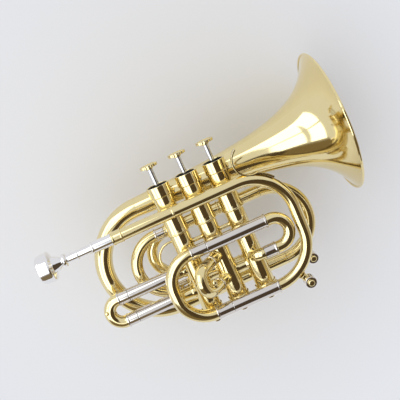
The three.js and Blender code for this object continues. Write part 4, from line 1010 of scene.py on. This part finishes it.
# %% Finger ring
RING_RADIUS, RING_WIRE_RADIUS, RING_CENTRE = 14.3, 1.15, Vector((-38.5, 10.55, -43.9))
bm = bmesh.new()
bmesh.ops.create_circle(bm, radius=RING_WIRE_RADIUS * MM, segments=20)
turn_and_move(bm, QUARTER_TURN, (RING_RADIUS * MM, 0, 0))
bmesh.ops.spin(bm, geom=bm.verts[:] + bm.edges[:], cent=(0, 0, 0), axis=(0, 0, 1), angle=2 * math.pi,
               steps=96, use_merge=True)
turn_and_move(bm, QUARTER_TURN, RING_CENTRE * MM)
make_piece(bm, "wire_finger_ring", brass, stands_for=["finger_ring"])

# %% [markdown]
# The little-finger hook is a strip of sheet, bent. Its foot follows the big bow that it is soldered
# to, and then it curls the other way. So a small flat section is spun about the bow's centre and
# then about the hook's own, and its edges are softened at the end.

# %% Little-finger hook
HOOK_CENTRE, HOOK_NECK, HOOK_TIP = Vector((54, LEAD_Y, 15.7)), 244, 86
BOW_CENTRE, FOOT_RADIUS, FOOT_START, FOOT_END = Vector((36.5, LEAD_Y, -38.5)), 44.85, 44, 64
STRIP_WIDTH, STRIP_THICKNESS = 7, 1.5


def about_y(degrees):
    return Matrix.Rotation(math.radians(-degrees), 3, "Y")


def turn_strip(bm, strip_end, pivot, degrees, steps):
    return bmesh.ops.spin(bm, geom=strip_end, cent=pivot * MM, axis=(0, -1, 0),
                          angle=math.radians(degrees), steps=steps)["geom_last"]


bm = bmesh.new()
bmesh.ops.create_grid(bm, x_segments=1, y_segments=1, size=0.5)
bmesh.ops.scale(bm, vec=(STRIP_THICKNESS * MM, STRIP_WIDTH * MM, 1), verts=bm.verts)
foot = BOW_CENTRE + about_y(FOOT_START) @ FORWARD * FOOT_RADIUS
turn_and_move(bm, about_y(FOOT_START), foot * MM)
strip_end = bm.verts[:] + bm.edges[:] + bm.faces[:]
strip_end = turn_strip(bm, strip_end, BOW_CENTRE, FOOT_END - FOOT_START, 8)
turn_strip(bm, strip_end, HOOK_CENTRE, HOOK_TIP - HOOK_NECK, 36)
bmesh.ops.remove_doubles(bm, verts=bm.verts, dist=MERGE_DISTANCE)
sharp_edges = [e for e in bm.edges if e.calc_face_angle(0) > 1]
bmesh.ops.bevel(bm, geom=sharp_edges, offset=0.15 * MM, segments=2, profile=0.5, affect="EDGES",
                clamp_overlap=True, material=-1)
make_piece(bm, "little_finger_hook", brass, stands_for=["finger_hook"], corner=25)

# %% [markdown]
# A water key lets condensation out. This kind is a small cylinder across the bow with a button
# that the thumb pushes in. It stands on a short boss low on the outer side of a bow, so its place
# is given from the bow's centre, as a direction and a distance.

# %% Water keys
KEY_REACH, BOSS_GAP = 9.1, 0.2


def water_key(side, centre, bow_radius, tube_radius, degrees):
    out = Vector((math.cos(math.radians(degrees)), 0, math.sin(math.radians(degrees))))
    middle = Vector(centre) + out * (bow_radius + tube_radius + KEY_REACH)
    seat = Vector(centre) + out * (bow_radius + tube_radius + BOSS_GAP)
    turned(f"{side}_key_barrel", [
        (-6, 0), (-6, 4.6), (-5.6, 5.1), (-4.6, 5.3), (-4.2, 5), (3.8, 5), (4.2, 5.3), (5.4, 5.3),
        (6, 4.8), (6, 3.1), (-4.4, 3.1), (-4.4, 0),
    ], nickel_silver, middle, RIGHT, rounding=0.12, steps=56, stands_for=[f"{side}_water_key_body"])
    turned(f"{side}_key_boss", [(0, 0), (0, 3.6), (0.8, 3.2), (4.6, 3.2), (4.6, 0)], brass, seat, out,
           rounding=0.2, steps=40)
    turned(f"{side}_key_button", [(-2, 0), (-2, 3), (7.6, 3), (8.4, 2.2), (8.4, 0)], brass, middle,
           RIGHT, rounding=0.3, steps=48, body=f"{side}_water_key",
           stands_for=[f"{side}_water_key_button"])


water_key("front", (36.5, LEAD_Y, -61), LEAD_BOW_RADIUS, LEAD_RADIUS, degrees=-60.5)
water_key("back", (FRONT_X, BELL_Y, -57.6), 34.6, FRONT_TUBE_RADIUS, degrees=-63.5)

# %% [markdown]
# The pistons stay as they came, because their bores and passages are already right. They sit
# inside the casings, and still get a real finish: ground metal, duller than the polished brass.

# %% Finish the pistons
for number, _ in VALVES:
    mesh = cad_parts[f"piston_{number}"].data
    mesh.materials.clear()
    mesh.materials.append(honed_metal)
    print("finished", mesh.name)

# %% [markdown]
# Last, the sizes: the plain model's box, in millimetres.

# %% Print the plain model's sizes
print("plain", [round(x / MM, 1) for c in cad_bounds for x in c])
